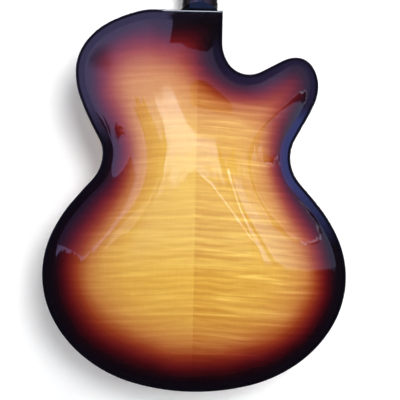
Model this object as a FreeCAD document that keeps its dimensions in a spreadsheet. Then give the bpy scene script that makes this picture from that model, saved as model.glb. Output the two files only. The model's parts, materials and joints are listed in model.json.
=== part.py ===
import FreeCAD
import Part
import Sketcher
import math
import os

# Archtop guitar, left-handed, standing upright: +Z runs from the tail to the headstock, the strings
# face -Y, the back faces +Y, and the cutaway is on the -X side. The origin is where the axis of the
# end-pin jack meets the tail, half-way through the depth of the ribs.

SIZES = {
    # Body outline
    "body_length": 510.0, "lower_bout_width": 406.0, "waist_width": 251.0, "upper_bout_width": 327.0,
    "horn_reach": 161.0, "cutaway_side": 31.5,
    # Plates, ribs and what stiffens them
    "rib_depth": 68.0, "rib_thickness": 2.5, "plate_thickness": 6.0, "back_arch": 17.0, "top_arch": 20.0,
    "edge_flat": 8.0, "arch_ramp": 92.0, "arch_grid": 12.0, "binding_width": 2.0, "binding_round": 1.4,
    "lining_width": 6.0, "lining_depth": 14.0,
    "head_block_reach": 45.0, "head_block_height": 62.0, "tail_block_width": 90.0, "tail_block_height": 28.0,
    "tone_bar_width": 9.0, "tone_bar_depth": 11.0, "tone_bar_length": 300.0, "tone_bar_spacing": 84.0,
    "tone_bar_middle": 262.0,
    # Sound holes
    "fhole_length": 132.0, "fhole_middle": 236.0, "fhole_offset": 103.0, "fhole_sweep": 22.0,
    "fhole_stem": 8.0, "fhole_upper_eye": 7.0, "fhole_lower_eye": 9.0,
    # Neck, heel and headstock
    "neck_rise": 24.0, "scale_length": 635.0, "neck_depth_nut": 15.0, "neck_depth_heel": 18.0,
    "heel_width": 49.0, "heel_cap_reach": 10.7, "heel_cap_thickness": 4.0, "heel_sweep": 62.0,
    "tenon_width": 22.0, "tenon_length": 20.0, "tenon_margin": 5.0,
    "extension_depth": 8.0, "extension_width": 44.0,
    "headstock_length": 166.0, "headstock_thickness": 15.0, "headstock_foot": 62.0, "headstock_head": 80.0,
    "headstock_crown": 9.0, "headstock_flare": 24.0, "headplate_thickness": 2.0,
    "truss_rod_radius": 3.0, "truss_rod_depth": 6.5, "truss_nut_radius": 4.0, "truss_nut_length": 12.0,
    "truss_pocket_length": 30.0, "truss_pocket_width": 11.0, "truss_cover_thickness": 1.6,
    "truss_cover_margin": 4.0,
    # Fretboard, frets, nut
    "fretboard_thickness": 6.0, "fretboard_radius": 305.0, "nut_width": 43.0, "joint_width": 53.0,
    "fretboard_overhang": 92.0, "fret_width": 2.2, "fret_height": 1.1, "marker_radius": 3.2,
    "marker_depth": 1.5, "marker_spread": 13.0, "nut_thickness": 5.0, "nut_lift": 1.6, "nut_edge": 0.5,
    "string_1_diameter": 0.30, "string_2_diameter": 0.40, "string_3_diameter": 0.55,
    "string_4_diameter": 0.75, "string_5_diameter": 1.00, "string_6_diameter": 1.30,
    "string_spacing_nut": 7.0, "string_spacing_bridge": 10.4, "string_action": 5.0,
    # Tuners
    "tuner_first": 38.0, "tuner_pitch": 42.0, "tuner_inset": 11.0, "post_radius": 3.0, "post_length": 12.0,
    "post_wind_height": 7.0, "bushing_radius": 5.0, "bushing_flange": 8.0, "bushing_rise": 1.8,
    "gear_radius": 4.5, "gear_thickness": 3.0, "worm_radius": 2.2, "worm_length": 12.0,
    "housing_length": 22.0, "housing_depth": 11.0, "housing_wall": 1.5, "ear_length": 8.0,
    "ear_thickness": 2.0, "screw_radius": 1.3, "screw_head": 2.6, "screw_head_rise": 1.4,
    "screw_length": 9.0, "button_length": 14.0, "button_width": 17.0, "button_thickness": 8.0,
    "button_gap": 4.0, "shaft_radius": 1.8,
    # Bridge
    "bridge_base_length": 150.0, "bridge_base_width": 14.0, "bridge_base_height": 9.0,
    "bridge_post_spacing": 74.0, "bridge_post_radius": 2.0, "post_seat_depth": 5.0, "wheel_radius": 9.0,
    "wheel_thickness": 3.0, "wheel_lift": 3.0, "wheel_notch": 0.9,
    "saddle_length": 94.0, "saddle_width": 9.0, "saddle_crest": 3.0, "saddle_shoulder": 4.0,
    "saddle_entry": 4.0, "saddle_drop": 2.0,
    # Tailpiece, end-pin jack
    "tail_clearance": 11.0, "tailpiece_head": 74.0,
    "tailpiece_foot": 30.0, "tailpiece_thickness": 8.0, "tailpiece_crown": 8.0, "hanger_width": 24.0,
    "hanger_thickness": 2.0, "hanger_overlap": 44.0, "hanger_below_pin": 16.0, "hanger_screw_offset": 7.0,
    "hanger_screw_place": 20.0, "hanger_screw_length": 20.0, "jack_radius": 6.0, "jack_bore": 3.2,
    "jack_flange": 7.0, "jack_waist": 5.4, "jack_rise": 8.0, "jack_nut_radius": 9.0,
    "jack_nut_thickness": 4.0,
    # Pickguard, pickup and controls
    "guard_thickness": 2.5, "guard_drop": 3.0, "guard_top_gap": 2.0, "guard_length": 165.0,
    "guard_reach": 95.0, "guard_notch": 35.5, "guard_bracket_width": 9.0, "guard_bracket_thickness": 2.0,
    "guard_bracket_overlap": 14.0, "guard_bracket_leg": 52.0, "guard_bracket_gap": 0.8,
    "pickup_length": 67.0, "pickup_width": 28.0, "pickup_depth": 11.0, "pickup_round": 3.0,
    "pickup_drop": 2.0, "pickup_bracket_thickness": 3.0, "pickup_bracket_width": 40.0,
    "pole_radius": 2.2, "pole_rise": 0.6,
    "control_column": 66.0, "volume_place": 218.0, "control_spacing": 46.0, "pot_radius": 8.0,
    "pot_depth": 7.5, "pot_bush_radius": 3.4, "pot_bush_rise": 2.0, "knob_radius": 9.5, "knob_height": 11.0,
    "pot_shaft_radius": 2.3, "pot_shaft_entry": 3.0, "knob_lift": 0.6, "knob_flute": 0.8,
    # Fits
    "running_gap": 0.3, "cut_overrun": 3.0,
}

# Heights on the outline as shares of the body's length.
LOWER_BOUT_SHARE = 0.303922
WAIST_SHARE = 0.619608
UPPER_BOUT_SHARE = 0.835294
HORN_SHARE = 0.805882
HORN_CREST_SHARE = 0.88098
CUTAWAY_DEPTH_SHARE = 0.834314

# Places on the outline between those heights and the widths, as shares of them, and the headings there.
TAIL_TURN_SHARES = (0.7266, 0.294)
FLANK_SHARES = (0.519, 0.59)
BASS_FLANK_SHARES = (0.408, 0.3545)
SHOULDER_SHARES = (0.8385, 0.643)
COLLAR_SHARES = (0.609, 0.895)
TOP_FLAT_SHARE = 0.367
CUTAWAY_SIDE_SHARE = 0.503
CUTAWAY_FLOOR_SHARE = 0.278
HORN_RISE_SHARES = (0.529, 0.517)
HORN_TOP_SHARE = 0.7645
TREBLE_FLANK_SHARES = (0.507, 0.484)
TAIL_TURN_HEADING = 39.0
FLANK_HEADING = 39.5
BASS_FLANK_HEADING = 62.4
SHOULDER_HEADING = 139.6
COLLAR_HEADING = 159.8
HORN_RISE_HEADING = 151.1
TREBLE_FLANK_HEADING = 299.1

NECK_TILT = 3.75
HEADSTOCK_TILT = 14.0
BODY_FRET = 14
FRET_COUNT = 20
SINGLE_MARKERS = (3, 5, 7, 9, 15, 17, 19)
OCTAVE_FRET = 12
STRING_COUNT = 6
WHEEL_NOTCHES = 24
KNOB_FLUTES = 18

doc = FreeCAD.newDocument("ArchtopGuitar")
sheet = doc.addObject("Spreadsheet::Sheet", "Sizes")
for row, (name, value) in enumerate(SIZES.items(), start=1):
    sheet.set(f"A{row}", name)
    sheet.set(f"B{row}", str(value))
    sheet.setAlias(f"B{row}", name)
doc.recompute()

nodes = []


def size(name):
    return float(sheet.get(name))


def vec(x, y, z):
    return FreeCAD.Vector(x, y, z)


def turn_x(degrees):
    return FreeCAD.Rotation(vec(1, 0, 0), degrees)


def keep(obj, label, placement=None):
    """Name an object as a finished piece and put it in its place."""
    obj.Label = label
    if placement is not None:
        obj.Placement = placement
    nodes.append(obj)
    return obj


def feature(label, shape, placement=None):
    """A piece whose shape is worked out here from the sheet."""
    obj = doc.addObject("Part::Feature", label)
    obj.Shape = shape
    return keep(obj, label, placement)


def bind(obj, **expressions):
    for prop, expression in expressions.items():
        obj.setExpression(prop, expression)
    return obj


def primitive(kind, name, **expressions):
    return bind(doc.addObject(f"Part::{kind}", name), **expressions)


def boolean(kind, name, base, tool):
    obj = doc.addObject(f"Part::{kind}", name)
    obj.Base = base
    obj.Tool = tool
    return obj


def origin_plane(body, role):
    return next(plane for plane in body.Origin.OriginFeatures if plane.Role == role)


def new_sketch(body, name, role):
    sketch = body.newObject("Sketcher::SketchObject", name)
    sketch.AttachmentSupport = (origin_plane(body, role), [""])
    sketch.MapMode = "FlatFace"
    return sketch


def ring_sketch(body, name, role, outer, inner):
    """Two circles about the origin, each with its radius bound to the sheet."""
    sketch = new_sketch(body, name, role)
    for radius in (outer, inner):
        value = sketch.evalExpression(radius)
        circle = sketch.addGeometry(Part.Circle(vec(0, 0, 0), vec(0, 0, 1), float(value)))
        sketch.addConstraint(Sketcher.Constraint("Coincident", circle, 3, -1, 1))
        bound = sketch.addConstraint(Sketcher.Constraint("Radius", circle, float(value)))
        sketch.setExpression(f"Constraints[{bound}]", radius)
    return sketch


def between(low, high, share):
    return low + (high - low) * share


def box(x_range, y_range, z_range):
    corner = vec(x_range[0], y_range[0], z_range[0])
    return Part.makeBox(x_range[1] - x_range[0], y_range[1] - y_range[0], z_range[1] - z_range[0], corner)


def cylinder(radius, length, start, direction):
    return Part.makeCylinder(radius, length, start, direction)


# The outline: tangent arcs through key points, walked from the tail up the bass side and back.

def heading(degrees):
    return vec(math.cos(math.radians(degrees)), 0, math.sin(math.radians(degrees)))


def left_of(direction):
    return vec(-direction.z, 0, direction.x)


def arc_segment(start, tangent, end):
    """Start, middle and end of the arc that leaves along tangent, with the heading at each."""
    chord = end - start
    along = chord / chord.Length
    half_turn = math.atan2(left_of(tangent).dot(along), tangent.dot(along))
    middle = (start + end) / 2 - left_of(along) * (chord.Length / 2 * math.tan(half_turn / 2))
    out = along * (2 * along.dot(tangent)) - tangent
    return ((start, middle, end), (tangent, along, out))


def biarc(start, start_tangent, end, end_tangent):
    """Two arcs that leave and arrive along the given headings."""
    span = end - start
    both = start_tangent + end_tangent
    bend = 2 * (1 - start_tangent.dot(end_tangent))
    reach = (math.sqrt(span.dot(both) ** 2 + bend * span.dot(span)) - span.dot(both)) / bend
    joint = (start + start_tangent * reach + end - end_tangent * reach) / 2
    first = arc_segment(start, start_tangent, joint)
    return [first, arc_segment(joint, first[1][2], end)]


def outline_segments():
    lower = size("lower_bout_width") / 2
    waist = size("waist_width") / 2
    upper = size("upper_bout_width") / 2
    horn = size("horn_reach")
    side = size("cutaway_side")
    length = size("body_length")
    lower_z = length * LOWER_BOUT_SHARE
    waist_z = length * WAIST_SHARE
    upper_z = length * UPPER_BOUT_SHARE
    floor_z = length * CUTAWAY_DEPTH_SHARE
    horn_z = length * HORN_SHARE
    horn_top_z = length * HORN_CREST_SHARE
    turn = (lower * TAIL_TURN_SHARES[0], lower_z * TAIL_TURN_SHARES[1])
    flank = (between(waist, lower, FLANK_SHARES[0]), between(lower_z, waist_z, FLANK_SHARES[1]))
    bass_side = [
        (0, 0, 0),
        (turn[0], turn[1], TAIL_TURN_HEADING),
        (lower, lower_z, 90),
        (flank[0], flank[1], 90 + FLANK_HEADING),
        (waist, waist_z, 90),
        (between(waist, upper, BASS_FLANK_SHARES[0]), between(waist_z, upper_z, BASS_FLANK_SHARES[1]),
         BASS_FLANK_HEADING),
        (upper, upper_z, 90),
        (upper * SHOULDER_SHARES[0], between(upper_z, length, SHOULDER_SHARES[1]), SHOULDER_HEADING),
        (upper * COLLAR_SHARES[0], between(upper_z, length, COLLAR_SHARES[1]), COLLAR_HEADING),
        (upper * TOP_FLAT_SHARE, length, 180),
    ]
    treble_side = [
        (-side, between(floor_z, length, CUTAWAY_SIDE_SHARE), 270),
        (-between(side, horn, CUTAWAY_FLOOR_SHARE), floor_z, 180),
        (-between(side, horn, HORN_RISE_SHARES[0]), between(floor_z, horn_top_z, HORN_RISE_SHARES[1]),
         HORN_RISE_HEADING),
        (-between(side, horn, HORN_TOP_SHARE), horn_top_z, 180),
        (-horn, horn_z, 270),
        (-between(waist, horn, TREBLE_FLANK_SHARES[0]), between(waist_z, horn_z, TREBLE_FLANK_SHARES[1]),
         TREBLE_FLANK_HEADING),
        (-waist, waist_z, 270),
        (-flank[0], flank[1], 270 - FLANK_HEADING),
        (-lower, lower_z, 270),
        (-turn[0], turn[1], 360 - TAIL_TURN_HEADING),
        (0, 0, 360),
    ]

    def chain(knots):
        segments = []
        for (x0, z0, a0), (x1, z1, a1) in zip(knots, knots[1:]):
            segments += biarc(vec(x0, 0, z0), heading(a0), vec(x1, 0, z1), heading(a1))
        return segments

    def straight(start, end):
        along = (end - start) / (end - start).Length
        return [((start, (start + end) / 2, end), (along, along, along))]

    corner = vec(-side, 0, length)
    top_start = vec(bass_side[-1][0], 0, length)
    side_end = vec(treble_side[0][0], 0, treble_side[0][1])
    return chain(bass_side) + straight(top_start, corner) + straight(corner, side_end) + chain(treble_side)


OUTLINE = outline_segments()


CORNER_COSINE_SHARE = 0.5
STRAIGHT_COSINE_SHARE = 1 - 1e-12


def inset_outline(inset):
    """The outline drawn in by a distance: arcs keep their centres, the one corner stays sharp."""
    moved = []
    for points, headings in OUTLINE:
        moved.append([point + left_of(along) * inset for point, along in zip(points, headings)])
    for index, (points, headings) in enumerate(OUTLINE):
        following = OUTLINE[(index + 1) % len(OUTLINE)][1][0]
        if headings[2].dot(following) < CORNER_COSINE_SHARE:
            corner = points[2] + (left_of(headings[2]) + left_of(following)) * inset
            moved[index][2] = corner
            moved[(index + 1) % len(OUTLINE)][0] = corner
    return moved


def outline_face(inset, depth):
    edges = []
    for (start, middle, end), (_, headings) in zip(inset_outline(inset), OUTLINE):
        if headings[0].dot(headings[2]) > STRAIGHT_COSINE_SHARE:
            edges.append(Part.LineSegment(start, end).toShape())
        else:
            edges.append(Part.Arc(start, middle, end).toShape())
    face = Part.Face(Part.Wire(edges))
    face.translate(vec(0, depth, 0))
    return face


def outline_prism(inset, low, high):
    return outline_face(inset, low).extrude(vec(0, high - low, 0))


def outline_ring(outer_inset, inner_inset, low, high):
    return outline_prism(outer_inset, low, high).cut(outline_prism(inner_inset, low, high))


# The arching: a smooth height over the outline, flat along the edge.

SAMPLES_PER_ARC = 8


def edge_samples():
    """Points round the outline with the length of edge that each stands for."""
    samples = []
    for (start, middle, end), headings in OUTLINE:
        if headings[0].dot(headings[2]) > STRAIGHT_COSINE_SHARE:
            curve = Part.LineSegment(start, end)
        else:
            curve = Part.Arc(start, middle, end)
        low, high = curve.FirstParameter, curve.LastParameter
        share = curve.length() / SAMPLES_PER_ARC
        for index in range(SAMPLES_PER_ARC):
            point = curve.value(between(low, high, (index + 0.5) / SAMPLES_PER_ARC))
            samples.append((point.x, point.z, share))
    return samples


EDGE = edge_samples()


def inside(x, z):
    crossed = False
    for (x0, z0, _), (x1, z1, _) in zip(EDGE, EDGE[1:] + EDGE[:1]):
        if (z0 > z) != (z1 > z) and x < x0 + (x1 - x0) * (z - z0) / (z1 - z0):
            crossed = not crossed
    return crossed


def edge_distance(x, z):
    """A smooth distance from the edge: the inverse-cube pull of the whole edge, so it has no ridges."""
    if not inside(x, z):
        return 0.0
    pull = sum(share / ((x - ex) ** 2 + (z - ez) ** 2) ** 1.5 for ex, ez, share in EDGE)
    return math.sqrt(2 / pull)


ARCH_FULLNESS_SHARE = 0.75


def arch_share(x, z):
    rise = (edge_distance(x, z) - size("edge_flat")) / size("arch_ramp")
    rise = min(max(rise, 0.0), 1.0)
    return 0.5 - 0.5 * math.cos(math.pi * rise ** ARCH_FULLNESS_SHARE)


def arch_axis(low, high):
    """Knots and pole places of a cubic spline along one side of the arch grid."""
    spans = math.ceil((high - low) / size("arch_grid"))
    knots = [index / spans for index in range(spans + 1)]
    padded = [0.0] * 3 + knots + [1.0] * 3
    places = [between(low, high, sum(padded[index + 1:index + 4]) / 3) for index in range(spans + 3)]
    return knots, [4] + [1] * (spans - 1) + [4], places


MARGIN = size("arch_grid")
ARCH_X = arch_axis(-size("lower_bout_width") / 2 - MARGIN, size("lower_bout_width") / 2 + MARGIN)
ARCH_Z = arch_axis(-MARGIN, size("body_length") + MARGIN)
ARCH_SHARES = [[arch_share(x, z) for z in ARCH_Z[2]] for x in ARCH_X[2]]


def arched_face(flat, rise):
    """A face over the whole outline that lies at depth flat along the edge and bulges by rise."""
    poles = [
        [vec(x, flat + rise * share, z) for z, share in zip(ARCH_Z[2], shares)]
        for x, shares in zip(ARCH_X[2], ARCH_SHARES)
    ]
    surface = Part.BSplineSurface()
    surface.buildFromPolesMultsKnots(poles, ARCH_X[1], ARCH_Z[1], ARCH_X[0], ARCH_Z[0], False, False, 3, 3)
    return surface.toShape()


HALF_RIB = size("rib_depth") / 2
EDGE_Y = HALF_RIB + size("plate_thickness")
LENGTH = size("body_length")
GAP = size("running_gap")
OVER = size("cut_overrun")
BEYOND = size("rib_depth")
LOWER = size("lower_bout_width")
BACK_INNER = arched_face(HALF_RIB, size("back_arch"))
TOP_INNER = arched_face(-HALF_RIB, -size("top_arch"))
TOP_OUTER = arched_face(-EDGE_Y, -size("top_arch"))
ABOVE_BACK = BACK_INNER.extrude(vec(0, BEYOND, 0))
ABOVE_TOP = TOP_INNER.extrude(vec(0, -BEYOND, 0))
UNDER_TOP = TOP_OUTER.extrude(vec(0, BEYOND, 0))


def top_at(x, z):
    """Depth of the top's outer face at a place on the outline's plane."""
    line = Part.makeLine(vec(x, -BEYOND * 2, z), vec(x, 0, z))
    return line.section(TOP_OUTER).Vertexes[0].Y


def half(shape, side):
    """The part of a shape on the bass (+1) or the treble (-1) side of the centre seam."""
    reach = (0, LOWER) if side > 0 else (-LOWER, 0)
    return shape.common(box(reach, (-LENGTH, LENGTH), (-LENGTH, LENGTH * 2)))


SIDES = (("bass", 1), ("treble", -1))


STEM_TAPER_SHARE = 0.7
STEM_LEAN_SHARE = 0.35
STEM_STATION_SHARES = (-1.0, -0.75, -0.5, -0.25, 0.0, 0.25, 0.5, 0.75, 1.0)


def sound_hole(side):
    """An S-shaped slot between two round eyes, cut through the top."""
    span = size("fhole_length") / 2
    low = -BEYOND * 2

    def edge(swell):
        points = []
        for share in STEM_STATION_SHARES:
            width = size("fhole_stem") / 2 * (1 - STEM_TAPER_SHARE * share ** 2)
            lean = between(share ** 5, share, STEM_LEAN_SHARE)
            x = size("fhole_offset") - size("fhole_sweep") * lean + swell * width
            points.append(vec(side * x, low, size("fhole_middle") + span * share))
        curve = Part.BSplineCurve()
        curve.interpolate(points)
        return curve.toShape(), points

    inner, inner_points = edge(-1)
    outer, outer_points = edge(1)
    closing = [Part.makeLine(inner_points[end], outer_points[end]) for end in (0, -1)]
    stem = Part.Face(Part.Wire(Part.__sortEdges__([inner, outer] + closing))).extrude(vec(0, BEYOND * 2, 0))
    for end, radius in ((1, size("fhole_upper_eye")), (-1, size("fhole_lower_eye"))):
        x = size("fhole_offset") - end * (size("fhole_sweep") + radius / 2)
        centre = vec(side * x, low, size("fhole_middle") + end * span)
        stem = stem.fuse(cylinder(radius, BEYOND * 2, centre, vec(0, 1, 0)))
    return stem


def rounded_binding(low, high, outer_depth):
    """A strip round the edge of a plate, rounded on its outside."""
    ring = outline_ring(0, size("binding_width"), low, high)
    middles = [points[1] + vec(0, outer_depth, 0) for points, _ in OUTLINE]
    chosen = []
    for edge in ring.Edges:
        middle = edge.valueAt((edge.FirstParameter + edge.LastParameter) / 2)
        if min(middle.distanceToPoint(point) for point in middles) < size("binding_width") / 10:
            chosen.append(edge)
    return ring.makeFillet(size("binding_round"), chosen)


def tenon(clearance=0.0):
    wide = size("tenon_width") / 2 + clearance
    tall = HALF_RIB - size("tenon_margin") + clearance
    foot = LENGTH - size("tenon_length") - clearance
    return box((-wide, wide), (-tall, tall), (foot, LENGTH))


def jack_hole():
    reach = size("tail_block_height") + size("hanger_thickness") + OVER * 2
    return cylinder(size("jack_radius"), reach, vec(0, 0, -size("hanger_thickness") - OVER), vec(0, 0, 1))


def build_body():
    skin = size("plate_thickness")
    trim = size("binding_width")
    wall = size("rib_thickness")
    back = BACK_INNER.extrude(vec(0, skin, 0)).common(outline_prism(trim, 0, BEYOND * 2))
    top = TOP_INNER.extrude(vec(0, -skin, 0)).common(outline_prism(trim, -BEYOND * 2, 0))
    ribs = outline_ring(0, wall, -HALF_RIB, HALF_RIB).cut(jack_hole()).cut(tenon())
    for name, side in SIDES:
        feature(f"back_plate_{name}", half(back, side))
        feature(f"top_plate_{name}", half(top, side).cut(sound_hole(side)))
        feature(f"rib_{name}", half(ribs, side))
    feature("back_binding", rounded_binding(HALF_RIB, EDGE_Y, EDGE_Y))
    feature("top_binding", rounded_binding(-EDGE_Y, -HALF_RIB, -EDGE_Y))

    cavity = outline_prism(wall, -BEYOND, BEYOND)
    inner_top = LENGTH - wall
    block_side = size("cutaway_side") - wall
    head_space = box((-block_side, size("head_block_reach")), (-BEYOND, BEYOND),
                     (inner_top - size("head_block_height"), LENGTH))
    half_tail = size("tail_block_width") / 2
    tail_space = box((-half_tail, half_tail), (-BEYOND, BEYOND), (0, wall + size("tail_block_height")))

    def fitted(space):
        return space.common(cavity).cut(ABOVE_BACK).cut(ABOVE_TOP)

    feature("head_block", fitted(head_space).cut(tenon()))
    feature("tail_block", fitted(tail_space).cut(jack_hole()))
    for name, low, high in (("back_linings", HALF_RIB - size("lining_depth"), HALF_RIB),
                            ("top_linings", -HALF_RIB, -HALF_RIB + size("lining_depth"))):
        strip = outline_ring(wall, wall + size("lining_width"), low, high)
        feature(name, strip.cut(head_space).cut(tail_space))

    bars = []
    wide = size("tone_bar_width") / 2
    long = size("tone_bar_length") / 2
    middle = size("tone_bar_middle")
    under = TOP_INNER.extrude(vec(0, size("tone_bar_depth"), 0))
    within = outline_prism(wall + size("lining_width") + GAP, -BEYOND * 2, 0)
    for _, side in SIDES:
        x = side * size("tone_bar_spacing") / 2
        strip = box((x - wide, x + wide), (-BEYOND * 2, 0), (middle - long, middle + long))
        bars.append(under.common(strip).common(within))
    feature("tone_bars", Part.makeCompound(bars))


build_body()

# The neck's own frame: z = 0 at the body joint, y = 0 on the playing surface, z towards the nut.

NECK = FreeCAD.Placement(vec(0, -EDGE_Y - size("neck_rise"), LENGTH), turn_x(-NECK_TILT))
BOARD = size("fretboard_thickness")
RADIUS = size("fretboard_radius")
SCALE = size("scale_length")
BRIDGE_Z = -SCALE * 2 ** (-BODY_FRET / 12)
NUT_Z = SCALE + BRIDGE_Z
NUT_END = NUT_Z + size("nut_thickness")
HEAD = NECK.multiply(FreeCAD.Placement(vec(0, BOARD, NUT_END), turn_x(-HEADSTOCK_TILT)))
PLATE = size("headplate_thickness")
HEAD_BACK = size("headstock_thickness")


def placed(shape, placement):
    moved = shape.copy()
    moved.Placement = placement.multiply(moved.Placement)
    return moved


def board_half(z):
    return between(size("joint_width"), size("nut_width"), z / NUT_Z) / 2


def camber(x):
    """How far the playing surface falls away at a distance from the centre line."""
    return x ** 2 / (2 * RADIUS)


def fret_z(number):
    return NUT_Z - SCALE * (1 - 2 ** (-number / 12))


def head_half(z):
    low = size("headstock_flare")
    high = size("headstock_length") - size("headstock_crown")
    return between(size("headstock_foot"), size("headstock_head"), (z - low) / (high - low)) / 2


FLARE_SHARES = (0.2, 0.55)


def headstock_face():
    length = size("headstock_length")
    shoulder = length - size("headstock_crown")
    foot = size("nut_width") / 2
    flare = size("headstock_flare")
    wide = head_half(flare)
    bend = (between(foot, wide, FLARE_SHARES[0]), flare * FLARE_SHARES[1])
    head = head_half(shoulder)
    edges = [Part.makeLine(vec(-foot, 0, 0), vec(foot, 0, 0))]
    for side in (1, -1):
        end = vec(side * wide, 0, flare)
        edges.append(Part.Arc(vec(side * foot, 0, 0), vec(side * bend[0], 0, bend[1]), end).toShape())
        edges.append(Part.makeLine(end, vec(side * head, 0, shoulder)))
    edges.append(Part.Arc(vec(head, 0, shoulder), vec(0, 0, length), vec(-head, 0, shoulder)).toShape())
    return Part.Face(Part.Wire(Part.__sortEdges__(edges)))


class Tuner:
    """Where one string's tuner sits on the headstock: side, place along it and its post."""

    def __init__(self, string):
        self.string = string
        per_side = STRING_COUNT // 2
        self.side = -1 if string <= per_side else 1
        order = string - 1 if string <= per_side else STRING_COUNT - string
        self.z = size("tuner_first") + order * size("tuner_pitch")
        self.edge = self.side * head_half(self.z)
        self.x = self.edge - self.side * size("tuner_inset")
        self.gear_y = HEAD_BACK + size("housing_depth") / 2
        self.worm_z = self.z + size("gear_radius") + size("worm_radius") + GAP


TUNERS = [Tuner(string) for string in range(1, STRING_COUNT + 1)]
HEEL_LEVEL_SHARES = ((0.0, 1.0), (0.2, 0.45), (0.5, 0.2), (1.0, 0.0))
HEEL_BOW_SHARE = 0.9
HEEL_TOTAL = (2 * EDGE_Y + size("neck_rise")) / math.cos(math.radians(NECK_TILT))
HEEL_SEAT = HEEL_TOTAL - size("heel_cap_thickness")
BODY_SPACE = box((-LOWER, LOWER), (-EDGE_Y - OVER, BEYOND * 2), (0, LENGTH))


def heel_section(level, width, reach):
    """A D with its straight side a little inside the body, which stands square while the neck leans back."""
    wide = width / 2
    seat = level * math.tan(math.radians(NECK_TILT))
    root = seat - OVER
    bow = min(reach, wide * HEEL_BOW_SHARE)
    shoulder = seat + reach - bow
    corners = [vec(wide, level, shoulder), vec(wide, level, root), vec(-wide, level, root),
               vec(-wide, level, shoulder)]
    edges = [Part.makeLine(a, b) for a, b in zip(corners, corners[1:])]
    edges.append(Part.Arc(corners[3], vec(0, level, seat + reach), corners[0]).toShape())
    return Part.Wire(edges)


def shaft_section(z, depth):
    wide = board_half(z)
    left, right = vec(-wide, BOARD, z), vec(wide, BOARD, z)
    return Part.Wire([Part.makeLine(left, right), Part.Arc(right, vec(0, BOARD + depth, z), left).toShape()])


def truss_rod_shape():
    """A rod under the fretboard with a hexagonal nut at the headstock end."""
    stub = size("truss_nut_length") / 3
    depth = BOARD + size("truss_rod_depth")
    rod = cylinder(size("truss_rod_radius"), NUT_END + stub * 2, vec(0, depth, 0), vec(0, 0, 1))
    nut = size("truss_nut_radius")
    corners = []
    for turn in range(7):
        angle = math.pi * turn / 3
        corners.append(vec(nut * math.cos(angle), depth + nut * math.sin(angle), NUT_END + stub))
    hexagon = Part.Face(Part.makePolygon(corners)).extrude(vec(0, 0, size("truss_nut_length")))
    return rod.fuse(hexagon).removeSplitter()


def truss_pocket():
    wide = size("truss_pocket_width") / 2
    floor = BOARD + size("truss_rod_depth") + size("truss_nut_radius") + GAP
    return box((-wide, wide), (-BOARD, floor), (NUT_END + GAP, NUT_END + size("truss_pocket_length")))


def build_neck():
    joint = size("joint_width")
    heel_low = between(size("heel_width"), joint, size("heel_cap_thickness") / HEEL_TOTAL)
    sections = []
    for level_share, reach_share in HEEL_LEVEL_SHARES:
        level = between(BOARD, HEEL_SEAT, level_share)
        reach = between(size("heel_cap_reach"), size("heel_sweep"), reach_share)
        sections.append(heel_section(level, between(joint, heel_low, level_share), reach))
    heel = Part.makeLoft(sections, True)
    shaft = Part.makeLoft([shaft_section(0, size("neck_depth_heel")),
                           shaft_section(NUT_END, size("neck_depth_nut"))], True)
    wide = size("extension_width") / 2
    extension = box((-wide, wide), (BOARD, BOARD + size("extension_depth")), (-size("fretboard_overhang"), 0))
    head = headstock_face().extrude(vec(0, HEAD_BACK, 0))
    for tuner in TUNERS:
        hole_start = vec(tuner.x, -OVER, tuner.z)
        head = head.cut(cylinder(size("bushing_radius"), HEAD_BACK + OVER * 2, hole_start, vec(0, 1, 0)))
    neck = placed(heel, NECK).cut(BODY_SPACE).fuse(placed(shaft, NECK)).fuse(placed(extension, NECK))
    neck = neck.fuse(placed(head, HEAD)).fuse(tenon())
    rod = truss_rod_shape()
    neck = neck.cut(placed(truss_pocket(), NECK)).cut(placed(rod, NECK)).removeSplitter()
    feature("neck", neck)
    feature("truss_rod", rod, NECK)

    cap_sections = [heel_section(HEEL_SEAT, heel_low, size("heel_cap_reach")),
                    heel_section(HEEL_TOTAL, size("heel_width"), size("heel_cap_reach"))]
    feature("heel_cap", placed(Part.makeLoft(cap_sections, True), NECK).cut(BODY_SPACE))

    plate = headstock_face().extrude(vec(0, -PLATE, 0))
    for tuner in TUNERS:
        hole_start = vec(tuner.x, -PLATE - OVER, tuner.z)
        plate = plate.cut(cylinder(size("bushing_radius"), PLATE + OVER * 2, hole_start, vec(0, 1, 0)))
    feature("headplate", placed(plate, HEAD).cut(placed(truss_pocket(), NECK)))

    margin = size("truss_cover_margin")
    cover_half = size("truss_pocket_width") / 2 + margin
    cover_top = size("truss_pocket_length") + margin
    tip = vec(0, -PLATE, cover_top + margin)
    outline = [vec(-cover_half, -PLATE, margin / 4), vec(cover_half, -PLATE, margin / 4),
               vec(cover_half, -PLATE, cover_top - margin), tip, vec(-cover_half, -PLATE, cover_top - margin)]
    cover = Part.Face(Part.makePolygon(outline + outline[:1]))
    feature("truss_rod_cover", cover.extrude(vec(0, -size("truss_cover_thickness"), 0)), HEAD)


build_neck()


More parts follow.
